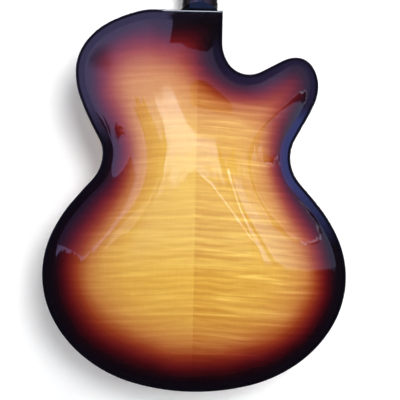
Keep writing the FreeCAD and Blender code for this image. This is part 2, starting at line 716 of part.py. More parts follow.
def build_fretboard():
    markers = []
    spread = size("marker_spread")
    places = [(fret, 0) for fret in SINGLE_MARKERS] + [(OCTAVE_FRET, -spread), (OCTAVE_FRET, spread)]
    for fret, x in places:
        z = (fret_z(fret - 1) + fret_z(fret)) / 2
        depth = size("marker_depth") + camber(x)
        markers.append(cylinder(size("marker_radius"), depth + OVER, vec(x, -OVER, z), vec(0, 1, 0)))
    pockets = doc.addObject("Part::Feature", "MarkerPockets")
    pockets.Shape = Part.makeCompound(markers)

    nut_z = f"Sizes.scale_length * (1 - 2^(-{BODY_FRET} / 12))"
    taper = f"(Sizes.joint_width - Sizes.nut_width) / ({nut_z})"
    end_half = f"(Sizes.joint_width + {taper} * Sizes.fretboard_overhang) / 2"
    blank = primitive("Wedge", "FretboardBlank", Xmin=f"-({end_half})", Xmax=end_half,
                      Ymin="-Sizes.fretboard_overhang", Ymax=nut_z,
                      Zmin="-Sizes.fretboard_thickness", Zmax="0",
                      X2min="-Sizes.nut_width / 2", X2max="Sizes.nut_width / 2",
                      Z2min="-Sizes.fretboard_thickness", Z2max="0")
    blank.Placement = FreeCAD.Placement(vec(0, 0, 0), turn_x(90))
    crown = primitive("Cylinder", "FretboardCamber", Radius="Sizes.fretboard_radius",
                      Height="Sizes.scale_length * 2")
    crown.setExpression("Placement.Base.y", "Sizes.fretboard_radius")
    crown.setExpression("Placement.Base.z", "-Sizes.scale_length")
    cambered = boolean("Common", "FretboardCambered", blank, crown)
    board = boolean("Cut", "Fretboard", cambered, pockets)
    doc.recompute()
    keep(board, "fretboard", NECK)
    feature("position_markers", Part.makeCompound([dot.common(crown.Shape) for dot in markers]), NECK)

    frets = []
    for number in range(1, FRET_COUNT + 1):
        z = fret_z(number)
        wide = size("fret_width") / 2
        ends = (vec(0, 0, z - wide), vec(0, 0, z + wide))
        crest = Part.Arc(ends[0], vec(0, -size("fret_height"), z), ends[1]).toShape()
        section = Part.Face(Part.Wire([crest, Part.makeLine(ends[1], ends[0])]))
        reach = math.degrees(math.asin((board_half(z) - GAP) / RADIUS))
        axis = vec(0, RADIUS, 0)
        section.rotate(axis, vec(0, 0, 1), -reach)
        frets.append(section.revolve(axis, vec(0, 0, 1), 2 * reach))
    feature("frets", Part.makeCompound(frets), NECK)


build_fretboard()


def string_x(string, spacing):
    """Sideways place of a string: string 1, the thinnest, is furthest to the treble side."""
    return (string - (STRING_COUNT + 1) / 2) * spacing


def string_radius(string):
    return size(f"string_{string}_diameter") / 2


def string_points(string):
    """Tailpiece, saddle, nut and post points of a string's centre line."""
    radius = string_radius(string)
    tuner = TUNERS[string - 1]
    bridge_x = string_x(string, size("string_spacing_bridge"))
    nut_x = string_x(string, size("string_spacing_nut"))
    saddle = NECK.multVec(vec(bridge_x, camber(bridge_x) - size("string_action") - radius, BRIDGE_Z))
    nut_y = camber(nut_x) - size("nut_lift") - radius
    nut = NECK.multVec(vec(nut_x, nut_y, NUT_Z + size("nut_thickness") / 2))
    beside = tuner.x - tuner.side * (size("post_radius") + GAP + radius)
    post = HEAD.multVec(vec(beside, -PLATE - size("post_wind_height"), tuner.z))
    tail = TAIL.multVec(vec(bridge_x, 0, -TAILPIECE_GAP))
    return [tail, saddle, nut, post]


BRIDGE = NECK.multVec(vec(0, -size("string_action"), BRIDGE_Z))
TAIL_FALL = math.atan2(-BRIDGE.y - EDGE_Y - size("tail_clearance"), BRIDGE.z)
TAIL = FreeCAD.Placement(BRIDGE, turn_x(math.degrees(TAIL_FALL)))
TAIL_RUN = BRIDGE.z / math.cos(TAIL_FALL)
TAILPIECE_SPAN_SHARES = (0.4156, 0.4589)
TAILPIECE_GAP = TAIL_RUN * TAILPIECE_SPAN_SHARES[0]
TAILPIECE_LENGTH = TAIL_RUN * TAILPIECE_SPAN_SHARES[1]


MITRED = 1


def string_solid(points, radius):
    """A round wire along straight runs, mitred where it bends."""
    path = Part.makePolygon(points)
    end = Part.Wire(Part.makeCircle(radius, points[0], points[1] - points[0]))
    return path.makePipeShell([end], True, False, MITRED)


def build_strings():
    strings = []
    for string in range(1, STRING_COUNT + 1):
        solid = string_solid(string_points(string), string_radius(string))
        strings.append(solid)
        feature(f"string_{string}", solid)
    wide = size("nut_width") / 2
    lip = size("nut_lift") + size("nut_edge")
    blank = box((-wide, wide), (-lip, BOARD), (NUT_Z, NUT_END))
    crown = cylinder(RADIUS + lip, SCALE, vec(0, RADIUS, 0), vec(0, 0, 1))
    nut = placed(blank.common(crown), NECK)
    for solid in strings:
        nut = nut.cut(solid)
    feature("nut", nut)


build_strings()


BUTTON_ROUND_SHARE = 0.4


def build_tuners():
    wall = size("housing_wall")
    half_long = size("housing_length") / 2
    housings = []
    bushings = []
    screws = []
    for tuner in TUNERS:
        low_z = tuner.z - size("gear_radius") - GAP - wall
        high_z = tuner.worm_z + size("worm_radius") + GAP + wall
        back = HEAD_BACK + size("housing_depth")
        shell = box((tuner.x - half_long, tuner.x + half_long), (HEAD_BACK, back), (low_z, high_z))
        round_edges = [edge for edge in shell.Edges if edge.BoundBox.YMin > back - wall / 2]
        shell = shell.makeFillet(wall, round_edges)
        inner = half_long - wall
        shell = shell.cut(box((tuner.x - inner, tuner.x + inner), (HEAD_BACK - OVER, back - wall),
                              (low_z + wall, high_z - wall)))
        ear = box((tuner.x - half_long, tuner.x + half_long), (HEAD_BACK, HEAD_BACK + size("ear_thickness")),
                  (low_z - size("ear_length"), low_z))
        shaft_hole = cylinder(size("shaft_radius") + GAP, half_long * 2,
                              vec(tuner.x, tuner.gear_y, tuner.worm_z), vec(tuner.side, 0, 0))
        screw_z = low_z - size("ear_length") / 2
        shank = cylinder(size("screw_radius"), size("screw_length"),
                         vec(tuner.x, HEAD_BACK + size("ear_thickness"), screw_z), vec(0, -1, 0))
        head = cylinder(size("screw_head"), size("screw_head_rise"),
                        vec(tuner.x, HEAD_BACK + size("ear_thickness"), screw_z), vec(0, 1, 0))
        housings.append(shell.fuse(ear).cut(shaft_hole).cut(shank).removeSplitter())
        screws.append(shank.fuse(head).removeSplitter())

        seat = vec(tuner.x, -PLATE, tuner.z)
        sleeve = cylinder(size("bushing_radius"), HEAD_BACK + PLATE, seat, vec(0, 1, 0))
        flange = cylinder(size("bushing_flange"), size("bushing_rise"), seat, vec(0, -1, 0))
        bore_start = vec(tuner.x, -HEAD_BACK, tuner.z)
        bore = cylinder(size("post_radius") + GAP, HEAD_BACK * 3, bore_start, vec(0, 1, 0))
        bushings.append(sleeve.fuse(flange).cut(bore).removeSplitter())

        gear_low = tuner.gear_y - size("gear_thickness") / 2
        tip = -PLATE - size("post_length")
        post = cylinder(size("post_radius"), gear_low - tip, vec(tuner.x, tip, tuner.z), vec(0, 1, 0))
        gear = cylinder(size("gear_radius"), size("gear_thickness"),
                        vec(tuner.x, gear_low, tuner.z), vec(0, 1, 0))
        feature(f"tuner_post_{tuner.string}", post.fuse(gear).removeSplitter(), HEAD)
        build_button(tuner)
    feature("tuner_housings", Part.makeCompound(housings), HEAD)
    feature("tuner_bushings", Part.makeCompound(bushings), HEAD)
    tool = placed(Part.makeCompound(screws), HEAD)
    feature("tuner_screws", tool)
    neck = next(node for node in nodes if node.Label == "neck")
    neck.Shape = neck.Shape.cut(tool)


def build_button(tuner):
    """A tuner button on its shaft, with the worm that drives the post's gear."""
    out = vec(tuner.side, 0, 0)
    axis = vec(tuner.x, tuner.gear_y, tuner.worm_z)
    worm = cylinder(size("worm_radius"), size("worm_length"), axis - out * (size("worm_length") / 2), out)
    start = tuner.edge + tuner.side * size("button_gap")
    shaft = cylinder(size("shaft_radius"), abs(start - tuner.x) + size("button_length") / 2, axis, out)
    thick = size("button_thickness") / 2
    wide = size("button_width") / 2
    ends = sorted((start, start + tuner.side * size("button_length")))
    grip = box(ends, (axis.y - thick, axis.y + thick), (axis.z - wide, axis.z + wide))
    grip = grip.makeFillet(size("button_thickness") * BUTTON_ROUND_SHARE, grip.Edges)
    feature(f"tuner_button_{tuner.string}", grip.fuse(shaft).fuse(worm).removeSplitter(), HEAD)


build_tuners()

# The bridge stands square on the crest of the top, under the strings.

BASE_TOP = top_at(0, BRIDGE.z) - size("bridge_base_height")
WHEEL_LOW = BASE_TOP - size("wheel_lift")
SADDLE_LOW = WHEEL_LOW - size("wheel_thickness") - GAP
SADDLE_TOP = BRIDGE.y + GAP
BASE_TIP_SHARE = 0.55


def build_bridge():
    long = size("bridge_base_length") / 2
    wide = size("bridge_base_width") / 2
    spacing = size("bridge_post_spacing") / 2
    front, back = BRIDGE.z + wide, BRIDGE.z - wide
    base = box((-long, long), (BASE_TOP, -EDGE_Y), (back, front)).cut(UNDER_TOP)
    posts = []
    for _, side in SIDES:
        foot = vec(side * spacing, BASE_TOP + size("post_seat_depth"), BRIDGE.z)
        tip = SADDLE_LOW - size("saddle_entry")
        posts.append(cylinder(size("bridge_post_radius"), foot.y - tip, foot, vec(0, -1, 0)))
    standing = Part.makeCompound(posts)
    tapered = base.cut(standing)
    for _, side in SIDES:
        ramp = [vec(side * long, BASE_TOP, back),
                vec(side * (spacing + size("wheel_radius")), BASE_TOP, back),
                vec(side * long, BASE_TOP + size("bridge_base_height") * BASE_TIP_SHARE, back)]
        tapered = tapered.cut(Part.Face(Part.makePolygon(ramp + ramp[:1])).extrude(vec(0, 0, front - back)))
    feature("bridge_base", tapered)
    feature("bridge_posts", standing)

    half_saddle = size("saddle_length") / 2
    body = size("saddle_width") / 2
    crest = size("saddle_crest") / 2
    slope = SADDLE_TOP + size("saddle_shoulder")
    section = [vec(-half_saddle, SADDLE_LOW, BRIDGE.z - body), vec(-half_saddle, SADDLE_LOW, BRIDGE.z + body),
               vec(-half_saddle, slope, BRIDGE.z + body), vec(-half_saddle, SADDLE_TOP, BRIDGE.z + crest),
               vec(-half_saddle, SADDLE_TOP, BRIDGE.z - crest), vec(-half_saddle, slope, BRIDGE.z - body)]
    saddle = Part.Face(Part.makePolygon(section + section[:1])).extrude(vec(size("saddle_length"), 0, 0))
    crown = cylinder(RADIUS, SCALE, vec(0, SADDLE_TOP + RADIUS, 0), vec(0, 0, 1))
    saddle = saddle.common(crown)
    depth = size("saddle_entry") + size("saddle_drop") + GAP
    for _, side in SIDES:
        mouth = vec(side * spacing, SADDLE_LOW + OVER, BRIDGE.z)
        saddle = saddle.cut(cylinder(size("bridge_post_radius") + GAP, depth + OVER, mouth, vec(0, -1, 0)))
    feature("bridge_saddle", saddle)

    for name, side in SIDES:
        wheel = thumbwheel(f"Thumbwheel{name.title()}")
        place = FreeCAD.Placement(vec(side * spacing, WHEEL_LOW, BRIDGE.z), turn_x(0))
        keep(wheel, f"thumbwheel_{name}", place)


def pad(body, name, sketch, length):
    feat = body.newObject("PartDesign::Pad", name)
    feat.Profile = sketch
    feat.setExpression("Length", length)
    return feat


def edge_notches(body, name, rim, radius, depth, count):
    """Round notches cut along a turned piece's rim, repeated about its axis."""
    sketch = new_sketch(body, f"{name}NotchSketch", "XZ_Plane")
    value = float(sketch.evalExpression(radius))
    place = float(sketch.evalExpression(rim))
    circle = sketch.addGeometry(Part.Circle(vec(place, 0, 0), vec(0, 0, 1), value))
    sketch.addConstraint(Sketcher.Constraint("PointOnObject", circle, 3, -1))
    across = sketch.addConstraint(Sketcher.Constraint("DistanceX", -1, 1, circle, 3, place))
    sketch.setExpression(f"Constraints[{across}]", rim)
    bound = sketch.addConstraint(Sketcher.Constraint("Radius", circle, value))
    sketch.setExpression(f"Constraints[{bound}]", radius)
    cut = body.newObject("PartDesign::Pocket", f"{name}Notch")
    cut.Profile = sketch
    cut.setExpression("Length", f"2 * ({depth})")
    cut.Midplane = True
    pattern = body.newObject("PartDesign::PolarPattern", f"{name}Notches")
    pattern.Originals = [cut]
    pattern.Axis = (origin_plane(body, "Y_Axis"), [""])
    pattern.Angle = 360
    pattern.Occurrences = count
    body.Tip = pattern


def thumbwheel(name):
    body = doc.addObject("PartDesign::Body", name)
    sketch = ring_sketch(body, f"{name}Sketch", "XZ_Plane", "Sizes.wheel_radius",
                         "Sizes.bridge_post_radius + Sizes.running_gap")
    pad(body, f"{name}Disc", sketch, "Sizes.wheel_thickness")
    doc.recompute()
    edge_notches(body, name, "Sizes.wheel_radius", "Sizes.wheel_notch", "Sizes.wheel_thickness",
                 WHEEL_NOTCHES)
    doc.recompute()
    return body


build_bridge()


def cut_from(label, tool):
    """Open a hole for a fastener in a piece that is already made."""
    piece = next(node for node in nodes if node.Label == label)
    placement = piece.Placement
    local = tool.copy()
    local.Placement = placement.inverse().multiply(local.Placement)
    shape = piece.Shape.copy()
    shape.Placement = FreeCAD.Placement()
    piece.Shape = shape.cut(local)
    piece.Placement = placement


def screw(seat, direction, length):
    """A screw whose head stands on seat and whose shank runs along direction."""
    shank = cylinder(size("screw_radius"), length, seat, direction)
    head = cylinder(size("screw_head"), size("screw_head_rise"), seat, direction * -1)
    return shank.fuse(head).removeSplitter()


TAILPIECE_WAIST_SHARES = (0.3, 0.5)
TAILPIECE_ROUND_SHARE = 0.2


def tailpiece_shape():
    top = -TAILPIECE_GAP
    foot = top - TAILPIECE_LENGTH
    head_half_width = size("tailpiece_head") / 2
    foot_half = size("tailpiece_foot") / 2
    lip = top - size("tailpiece_crown")
    waist = vec(between(foot_half, head_half_width, TAILPIECE_WAIST_SHARES[0]), 0,
                between(foot, lip, TAILPIECE_WAIST_SHARES[1]))
    edges = [Part.makeLine(vec(-head_half_width, 0, top), vec(head_half_width, 0, top)),
             Part.makeLine(vec(-foot_half, 0, foot), vec(foot_half, 0, foot))]
    for side in (1, -1):
        corner = vec(side * head_half_width, 0, lip)
        edges.append(Part.makeLine(vec(side * head_half_width, 0, top), corner))
        end = vec(side * foot_half, 0, foot)
        edges.append(Part.Arc(corner, vec(side * waist.x, 0, waist.z), end).toShape())
    face = Part.Face(Part.Wire(Part.__sortEdges__(edges)))
    face.translate(vec(0, -size("tailpiece_thickness") / 2, 0))
    block = face.extrude(vec(0, size("tailpiece_thickness"), 0))
    front = [edge for edge in block.Edges if edge.BoundBox.YMax < -size("tailpiece_thickness") / 4]
    return block.makeFillet(size("tailpiece_thickness") * TAILPIECE_ROUND_SHARE, front)


def build_tailpiece():
    sheet_metal = size("hanger_thickness")
    wide = size("hanger_width") / 2
    under = size("tailpiece_thickness") / 2
    foot = -TAILPIECE_GAP - TAILPIECE_LENGTH
    reach = TAIL_RUN + sheet_metal * 2 / math.cos(TAIL_FALL)
    arm = box((-wide, wide), (under, under + sheet_metal), (-reach, foot + size("hanger_overlap")))
    arm = placed(arm, TAIL).common(box((-wide, wide), (-LENGTH, LENGTH), (-sheet_metal, LENGTH)))
    front = arm.BoundBox.YMax
    for vertex in arm.Vertexes:
        if vertex.Z < 0:
            front = min(front, vertex.Y)
    plate = box((-wide, wide), (front, size("hanger_below_pin")), (-sheet_metal, 0))
    hanger = arm.fuse(plate).cut(jack_hole()).removeSplitter()

    screws = []
    for _, side in SIDES:
        x = side * size("hanger_screw_offset")
        low_seat = vec(x, -size("hanger_screw_place"), -sheet_metal)
        low = screw(low_seat, vec(0, 0, 1), size("hanger_screw_length"))
        high = screw(vec(x, under + sheet_metal, foot + size("hanger_overlap") / 2), vec(0, -1, 0),
                     sheet_metal + under)
        screws += [low, placed(high, TAIL)]
    feature("tailpiece", tailpiece_shape(), TAIL)
    feature("tailpiece_hanger", hanger)
    fasteners = Part.makeCompound(screws)
    for label in ("tailpiece", "tailpiece_hanger", "rib_bass", "rib_treble", "tail_block"):
        cut_from(label, fasteners)
    return screws


def profile_sketch(body, name, role, points):
    """A closed outline whose corners are bound to the sheet; a corner at "0" lies on that axis."""
    sketch = new_sketch(body, name, role)
    places = [tuple(float(sketch.evalExpression(value)) for value in point) for point in points]
    for start, end in zip(places, places[1:] + places[:1]):
        sketch.addGeometry(Part.LineSegment(vec(start[0], start[1], 0), vec(end[0], end[1], 0)))
    for index, point in enumerate(points):
        before = (index - 1) % len(points)
        sketch.addConstraint(Sketcher.Constraint("Coincident", before, 2, index, 1))
        for value, place, kind, axis in zip(point, places[index], ("DistanceX", "DistanceY"), (-2, -1)):
            if value == "0":
                sketch.addConstraint(Sketcher.Constraint("PointOnObject", index, 1, axis))
            else:
                bound = sketch.addConstraint(Sketcher.Constraint(kind, -1, 1, index, 1, place))
                sketch.setExpression(f"Constraints[{bound}]", value)
    return sketch


def turned(name, role, points):
    """A piece turned about its sketch's upright axis."""
    body = doc.addObject("PartDesign::Body", name)
    sketch = profile_sketch(body, f"{name}Profile", role, points)
    turning = body.newObject("PartDesign::Revolution", f"{name}Turned")
    turning.Profile = sketch
    turning.ReferenceAxis = (sketch, ["V_Axis"])
    turning.Angle = 360
    doc.recompute()
    return body


JACK_FLANGE_SHARES = (0.2, 0.45, 0.85)


def build_jack():
    wall = "Sizes.jack_rise + Sizes.hanger_thickness + Sizes.rib_thickness + Sizes.tail_block_height"
    end = f"{wall} + Sizes.jack_nut_thickness"
    jack = turned("EndpinJack", "XZ_Plane", [
        ("Sizes.jack_bore", "0"),
        ("Sizes.jack_flange", "0"),
        ("Sizes.jack_flange", f"Sizes.jack_rise * {JACK_FLANGE_SHARES[0]}"),
        ("Sizes.jack_waist", f"Sizes.jack_rise * {JACK_FLANGE_SHARES[1]}"),
        ("Sizes.jack_flange", f"Sizes.jack_rise * {JACK_FLANGE_SHARES[2]}"),
        ("Sizes.jack_flange", "Sizes.jack_rise"),
        ("Sizes.jack_radius", "Sizes.jack_rise"),
        ("Sizes.jack_radius", wall),
        ("Sizes.jack_nut_radius", wall),
        ("Sizes.jack_nut_radius", end),
        ("Sizes.jack_bore", end),
    ])
    low = -size("hanger_thickness") - size("jack_rise")
    keep(jack, "endpin_jack", FreeCAD.Placement(vec(0, 0, low), turn_x(0)))


GUARD_HEEL_SHARES = (0.5, 1.02)
GUARD_CORNER_SHARES = (0.9, 0.93)
GUARD_FLANK_SHARES = (1.0, 0.6)
GUARD_SHOULDER_SHARES = (0.5, 0.12)
GUARD_TIP_SHARES = (0.25, 0.02)
GUARD_FRONT = size("guard_drop")
GUARD_BACK = GUARD_FRONT + size("guard_thickness")
CONTROLS = (("volume", -size("volume_place")), ("tone", size("control_spacing") - size("volume_place")))


def guard_face():
    """A plate beside the strings, from the pickup to below the knobs, inside the body's outline."""
    notch = size("guard_notch")
    high = size("fretboard_overhang") + size("guard_top_gap")

    def at(width_share, length_share):
        x = between(notch, size("guard_reach"), width_share)
        return vec(-x, GUARD_FRONT, -high - size("guard_length") * length_share)

    top, foot, corner, shoulder = at(0, 0), at(0, 1), at(*GUARD_CORNER_SHARES), at(*GUARD_SHOULDER_SHARES)
    edges = [Part.makeLine(top, foot)]
    for start, shares, end in ((foot, GUARD_HEEL_SHARES, corner), (corner, GUARD_FLANK_SHARES, shoulder),
                               (shoulder, GUARD_TIP_SHARES, top)):
        edges.append(Part.Arc(start, at(*shares), end).toShape())
    return Part.Face(Part.Wire(edges))


def build_guard(screws):
    guard = guard_face().extrude(vec(0, size("guard_thickness"), 0))
    for _, z in CONTROLS:
        hole_start = vec(-size("control_column"), GUARD_FRONT - OVER, z)
        guard = guard.cut(cylinder(size("pot_bush_radius"), size("guard_thickness") + OVER * 2, hole_start,
                                   vec(0, 1, 0)))
    feature("pickguard", guard, NECK)

    metal = size("guard_bracket_thickness")
    inner = size("waist_width") / 2 + size("guard_bracket_gap")
    middle = LENGTH * WAIST_SHARE - LENGTH
    half_wide = size("guard_bracket_width") / 2
    ends = (-inner - metal, size("guard_bracket_overlap") - size("guard_reach"))
    along = (middle - half_wide, middle + half_wide)
    foot = GUARD_BACK + size("guard_bracket_leg")
    arm = box(ends, (GUARD_BACK, GUARD_BACK + metal), along)
    leg = box((-inner - metal, -inner), (GUARD_BACK, foot), along)
    feature("pickguard_bracket", arm.fuse(leg).removeSplitter(), NECK)
    fixing_seat = vec(-inner - metal, foot - half_wide, middle)
    fixing = placed(screw(fixing_seat, vec(1, 0, 0), size("screw_length")), NECK)
    screws.append(fixing)
    for label in ("pickguard_bracket", "rib_treble", "top_linings"):
        cut_from(label, fixing)
    feature("fixing_screws", Part.makeCompound(screws))


def build_pickup():
    start = -size("fretboard_overhang") - size("pickup_bracket_thickness")
    half_long = size("pickup_length") / 2
    face = size("pickup_drop")
    cover = box((-half_long, half_long), (face, face + size("pickup_depth")),
                (start - size("pickup_width"), start))
    rounded = [edge for edge in cover.Edges if edge.BoundBox.YLength > size("pickup_depth") / 2]
    cover = cover.makeFillet(size("pickup_round"), rounded)
    poles = []
    middle = start - size("pickup_width") / 2
    spacing = between(size("string_spacing_nut"), size("string_spacing_bridge"), (NUT_Z - middle) / SCALE)
    for string in range(1, STRING_COUNT + 1):
        pole_start = vec(string_x(string, spacing), face - size("pole_rise"), middle)
        poles.append(cylinder(size("pole_radius"), size("pole_rise") + size("pickup_depth") / 2, pole_start,
                              vec(0, 1, 0)))
    poles = Part.makeCompound(poles)
    feature("pickup", cover.cut(poles), NECK)
    feature("pole_pieces", poles, NECK)
    half_bracket = size("pickup_bracket_width") / 2
    bracket = primitive("Box", "PickupBracket", Length="Sizes.pickup_bracket_width",
                        Width="Sizes.fretboard_thickness + Sizes.extension_depth - Sizes.pickup_drop",
                        Height="Sizes.pickup_bracket_thickness")
    doc.recompute()
    place = FreeCAD.Placement(vec(-half_bracket, face, start), turn_x(0))
    keep(bracket, "pickup_bracket", NECK.multiply(place))


KNOB_SKIRT_SHARES = (0.94, 0.86)
KNOB_FACE_SHARE = 0.8


def build_controls():
    pots = []
    column = -size("control_column")
    bush_front = GUARD_FRONT - size("pot_bush_rise")
    shaft_end = GUARD_BACK + size("pot_shaft_entry")
    shaft = "Sizes.knob_lift + Sizes.pot_bush_rise + Sizes.guard_thickness + Sizes.pot_shaft_entry"
    front = f"{shaft} + Sizes.knob_height"
    for name, z in CONTROLS:
        case = cylinder(size("pot_radius"), size("pot_depth"), vec(column, GUARD_BACK, z), vec(0, 1, 0))
        start = vec(column, bush_front, z)
        bush = cylinder(size("pot_bush_radius"), GUARD_BACK - bush_front, start, vec(0, 1, 0))
        bore = cylinder(size("pot_shaft_radius") + GAP, shaft_end + GAP - bush_front, start, vec(0, 1, 0))
        pots.append(case.fuse(bush).cut(bore).removeSplitter())
        title = f"Knob{name.title()}"
        knob = turned(title, "XY_Plane", [
            ("0", "0"),
            ("Sizes.pot_shaft_radius", "0"),
            ("Sizes.pot_shaft_radius", shaft),
            ("Sizes.knob_radius", shaft),
            (f"Sizes.knob_radius * {KNOB_SKIRT_SHARES[0]}",
             f"{shaft} + Sizes.knob_height * {KNOB_SKIRT_SHARES[1]}"),
            (f"Sizes.knob_radius * {KNOB_FACE_SHARE}", front),
            ("0", front),
        ])
        edge_notches(knob, title, "Sizes.knob_radius", "Sizes.knob_flute", front, KNOB_FLUTES)
        doc.recompute()
        place = FreeCAD.Placement(vec(column, shaft_end, z), turn_x(180))
        keep(knob, f"knob_{name}", NECK.multiply(place))
    feature("potentiometers", Part.makeCompound(pots), NECK)


build_jack()
build_guard(build_tailpiece())
build_pickup()
build_controls()


def write_pieces():
    doc.recompute()
    for obj in doc.Objects:
        if "Invalid" in obj.State or "Error" in obj.State:
            raise RuntimeError(f"{obj.Label} failed: {obj.State}")
    for node in nodes:
        if node.Shape.isNull() or not node.Shape.isValid() or not node.Shape.Solids:
            raise RuntimeError(f"{node.Label} has no valid solid")
    os.makedirs("parts", exist_ok=True)
    for node in nodes:
        node.Shape.exportStep(f"parts/{node.Label}.step")


write_pieces()
print(f"{len(nodes)} pieces written")
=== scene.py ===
import bpy
import json
import math
import numpy as np
from mathutils import Matrix, Vector
from mathutils.geometry import delaunay_2d_cdt


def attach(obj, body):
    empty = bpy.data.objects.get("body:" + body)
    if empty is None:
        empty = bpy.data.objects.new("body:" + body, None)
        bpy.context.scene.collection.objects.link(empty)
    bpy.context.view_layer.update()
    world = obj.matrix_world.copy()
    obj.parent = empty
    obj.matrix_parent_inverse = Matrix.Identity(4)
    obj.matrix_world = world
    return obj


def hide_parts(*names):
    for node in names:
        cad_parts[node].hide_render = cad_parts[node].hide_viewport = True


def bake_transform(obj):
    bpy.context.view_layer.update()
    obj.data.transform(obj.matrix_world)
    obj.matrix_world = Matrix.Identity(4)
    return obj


# The frame: x to the bass side, y to the back, z from the tail to the headstock, in metres.
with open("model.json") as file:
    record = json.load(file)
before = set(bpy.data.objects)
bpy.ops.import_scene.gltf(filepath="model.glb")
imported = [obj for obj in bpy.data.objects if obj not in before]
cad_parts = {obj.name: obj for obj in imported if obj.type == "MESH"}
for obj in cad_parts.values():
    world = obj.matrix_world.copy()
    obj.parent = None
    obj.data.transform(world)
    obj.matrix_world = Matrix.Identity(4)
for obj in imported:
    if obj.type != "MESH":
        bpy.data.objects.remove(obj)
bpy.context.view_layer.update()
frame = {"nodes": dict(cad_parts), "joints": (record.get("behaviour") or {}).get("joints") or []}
nodes = frame["nodes"]
scene = bpy.context.scene
scene.view_settings.view_transform = "Standard"

MM = 0.001
STRING_NUMBERS = range(1, 7)


# Colours and node helpers

def linear(red, green, blue):
    """An sRGB colour, 0 to 255, as linear light."""
    channels = []
    for value in (red, green, blue):
        share = value / 255
        channels.append(share / 12.92 if share <= 0.04045 else ((share + 0.055) / 1.055) ** 2.4)
    return (*channels, 1.0)


class Nodes:
    """A short way to write a node tree."""

    def __init__(self, tree):
        self.tree = tree
        tree.nodes.clear()

    def add(self, kind, inputs=None, **settings):
        node = self.tree.nodes.new(kind)
        for name, value in settings.items():
            setattr(node, name, value)
        for socket, value in (inputs or {}).items():
            self.feed(node.inputs[socket], value)
        return node

    def feed(self, socket, value):
        if isinstance(value, bpy.types.NodeSocket):
            self.tree.links.new(value, socket)
        else:
            socket.default_value = value

    def place(self):
        return self.add("ShaderNodeTexCoord").outputs["Object"]

    def axes(self):
        """The x, y and z of a place."""
        return tuple(self.add("ShaderNodeSeparateXYZ", {0: self.place()}).outputs)

    def math(self, operation, first, second=0.0):
        return self.add("ShaderNodeMath", {0: first, 1: second}, operation=operation).outputs[0]

    def plus(self, first, *others):
        for other in others:
            first = self.math("ADD", first, other)
        return first

    def times(self, first, *others):
        for other in others:
            first = self.math("MULTIPLY", first, other)
        return first

    def minus(self, first, second):
        return self.math("SUBTRACT", first, second)

    def size(self, value):
        return self.math("ABSOLUTE", value)

    def span(self, value, low, high, to_low=0.0, to_high=1.0):
        """The value moved from the range low to high into another range, and held inside it."""
        inputs = {0: value, 1: low, 2: high, 3: to_low, 4: to_high}
        return self.add("ShaderNodeMapRange", inputs).outputs[0]

    def band(self, value, low, high, soft):
        """1 between low and high, with edges that fade over twice soft."""
        rising, falling = self.span(value, low - soft, low + soft), self.span(value, high + soft, high - soft)
        return self.times(rising, falling)

    def noise(self, vector, scale, detail=2.0, roughness=0.5, distortion=0.0):
        """Noise at one scale, or at a scale of its own along each axis."""
        if isinstance(scale, tuple):
            vector = self.add("ShaderNodeMapping", {"Vector": vector, "Scale": scale}).outputs[0]
            scale = 1.0
        inputs = {"Vector": vector, "Scale": scale, "Detail": detail, "Roughness": roughness,
                  "Distortion": distortion}
        return self.add("ShaderNodeTexNoise", inputs).outputs[0]

    def spread(self, noise, low, high):
        """A noise drawn out from its usual range to the range low to high."""
        return self.span(noise, 0.3, 0.7, low, high)

    def ramp(self, value, stops):
        node = self.add("ShaderNodeValToRGB", {0: value})
        elements = node.color_ramp.elements
        while len(elements) < len(stops):
            elements.new(0.5)
        for element, (place, colour) in zip(elements, stops):
            element.position = place
            element.color = colour
        return node.outputs[0]

    def tint(self, red, green, blue):
        return self.add("ShaderNodeCombineColor", {0: red, 1: green, 2: blue}).outputs[0]

    def mix(self, share, first, second, blend_type="MIX"):
        node = self.add("ShaderNodeMix", data_type="RGBA", blend_type=blend_type)
        for socket, value in ((0, share), (6, first), (7, second)):
            self.feed(node.inputs[socket], value)
        return node.outputs[2]

    def bump(self, height, strength, distance):
        inputs = {"Height": height, "Strength": strength, "Distance": distance}
        return self.add("ShaderNodeBump", inputs).outputs[0]

    def surface(self, **inputs):
        titles = [name.replace("_", " ").title().replace("Ior", "IOR") for name in inputs]
        self.output(self.add("ShaderNodeBsdfPrincipled", dict(zip(titles, inputs.values()))).outputs[0])

    def emit(self, colour, strength=1.0):
        self.output(self.add("ShaderNodeEmission", {"Color": colour, "Strength": strength}).outputs[0])

    def output(self, shader):
        self.add("ShaderNodeOutputMaterial", {0: shader})


def material(name):
    made = bpy.data.materials.new(name)
    made.use_nodes = True
    return made, Nodes(made.node_tree)


def dress(names, finish):
    for name in names:
        slots = nodes[name].data.materials
        slots.clear()
        slots.append(finish)


def add_mesh(name, verts, faces):
    mesh = bpy.data.meshes.new(name)
    mesh.from_pydata(verts, [], faces)
    obj = bpy.data.objects.new(name, mesh)
    scene.collection.objects.link(obj)
    return obj


# The outline of the body

OUTLINE_STEP = 2 * MM
MICROMETRE = 6  # decimal places of a metre

# How much of a face's normal lies along y, on the binding's flat side and on a plate's carved side.
FLAT_NORMAL = 0.9
CARVED_NORMAL = 0.3


def mesh_points(obj):
    points = np.empty(len(obj.data.vertices) * 3)
    obj.data.vertices.foreach_get("co", points)
    return points.reshape(-1, 3)


def loop_extent(loop):
    return np.ptp(loop, axis=0).max()


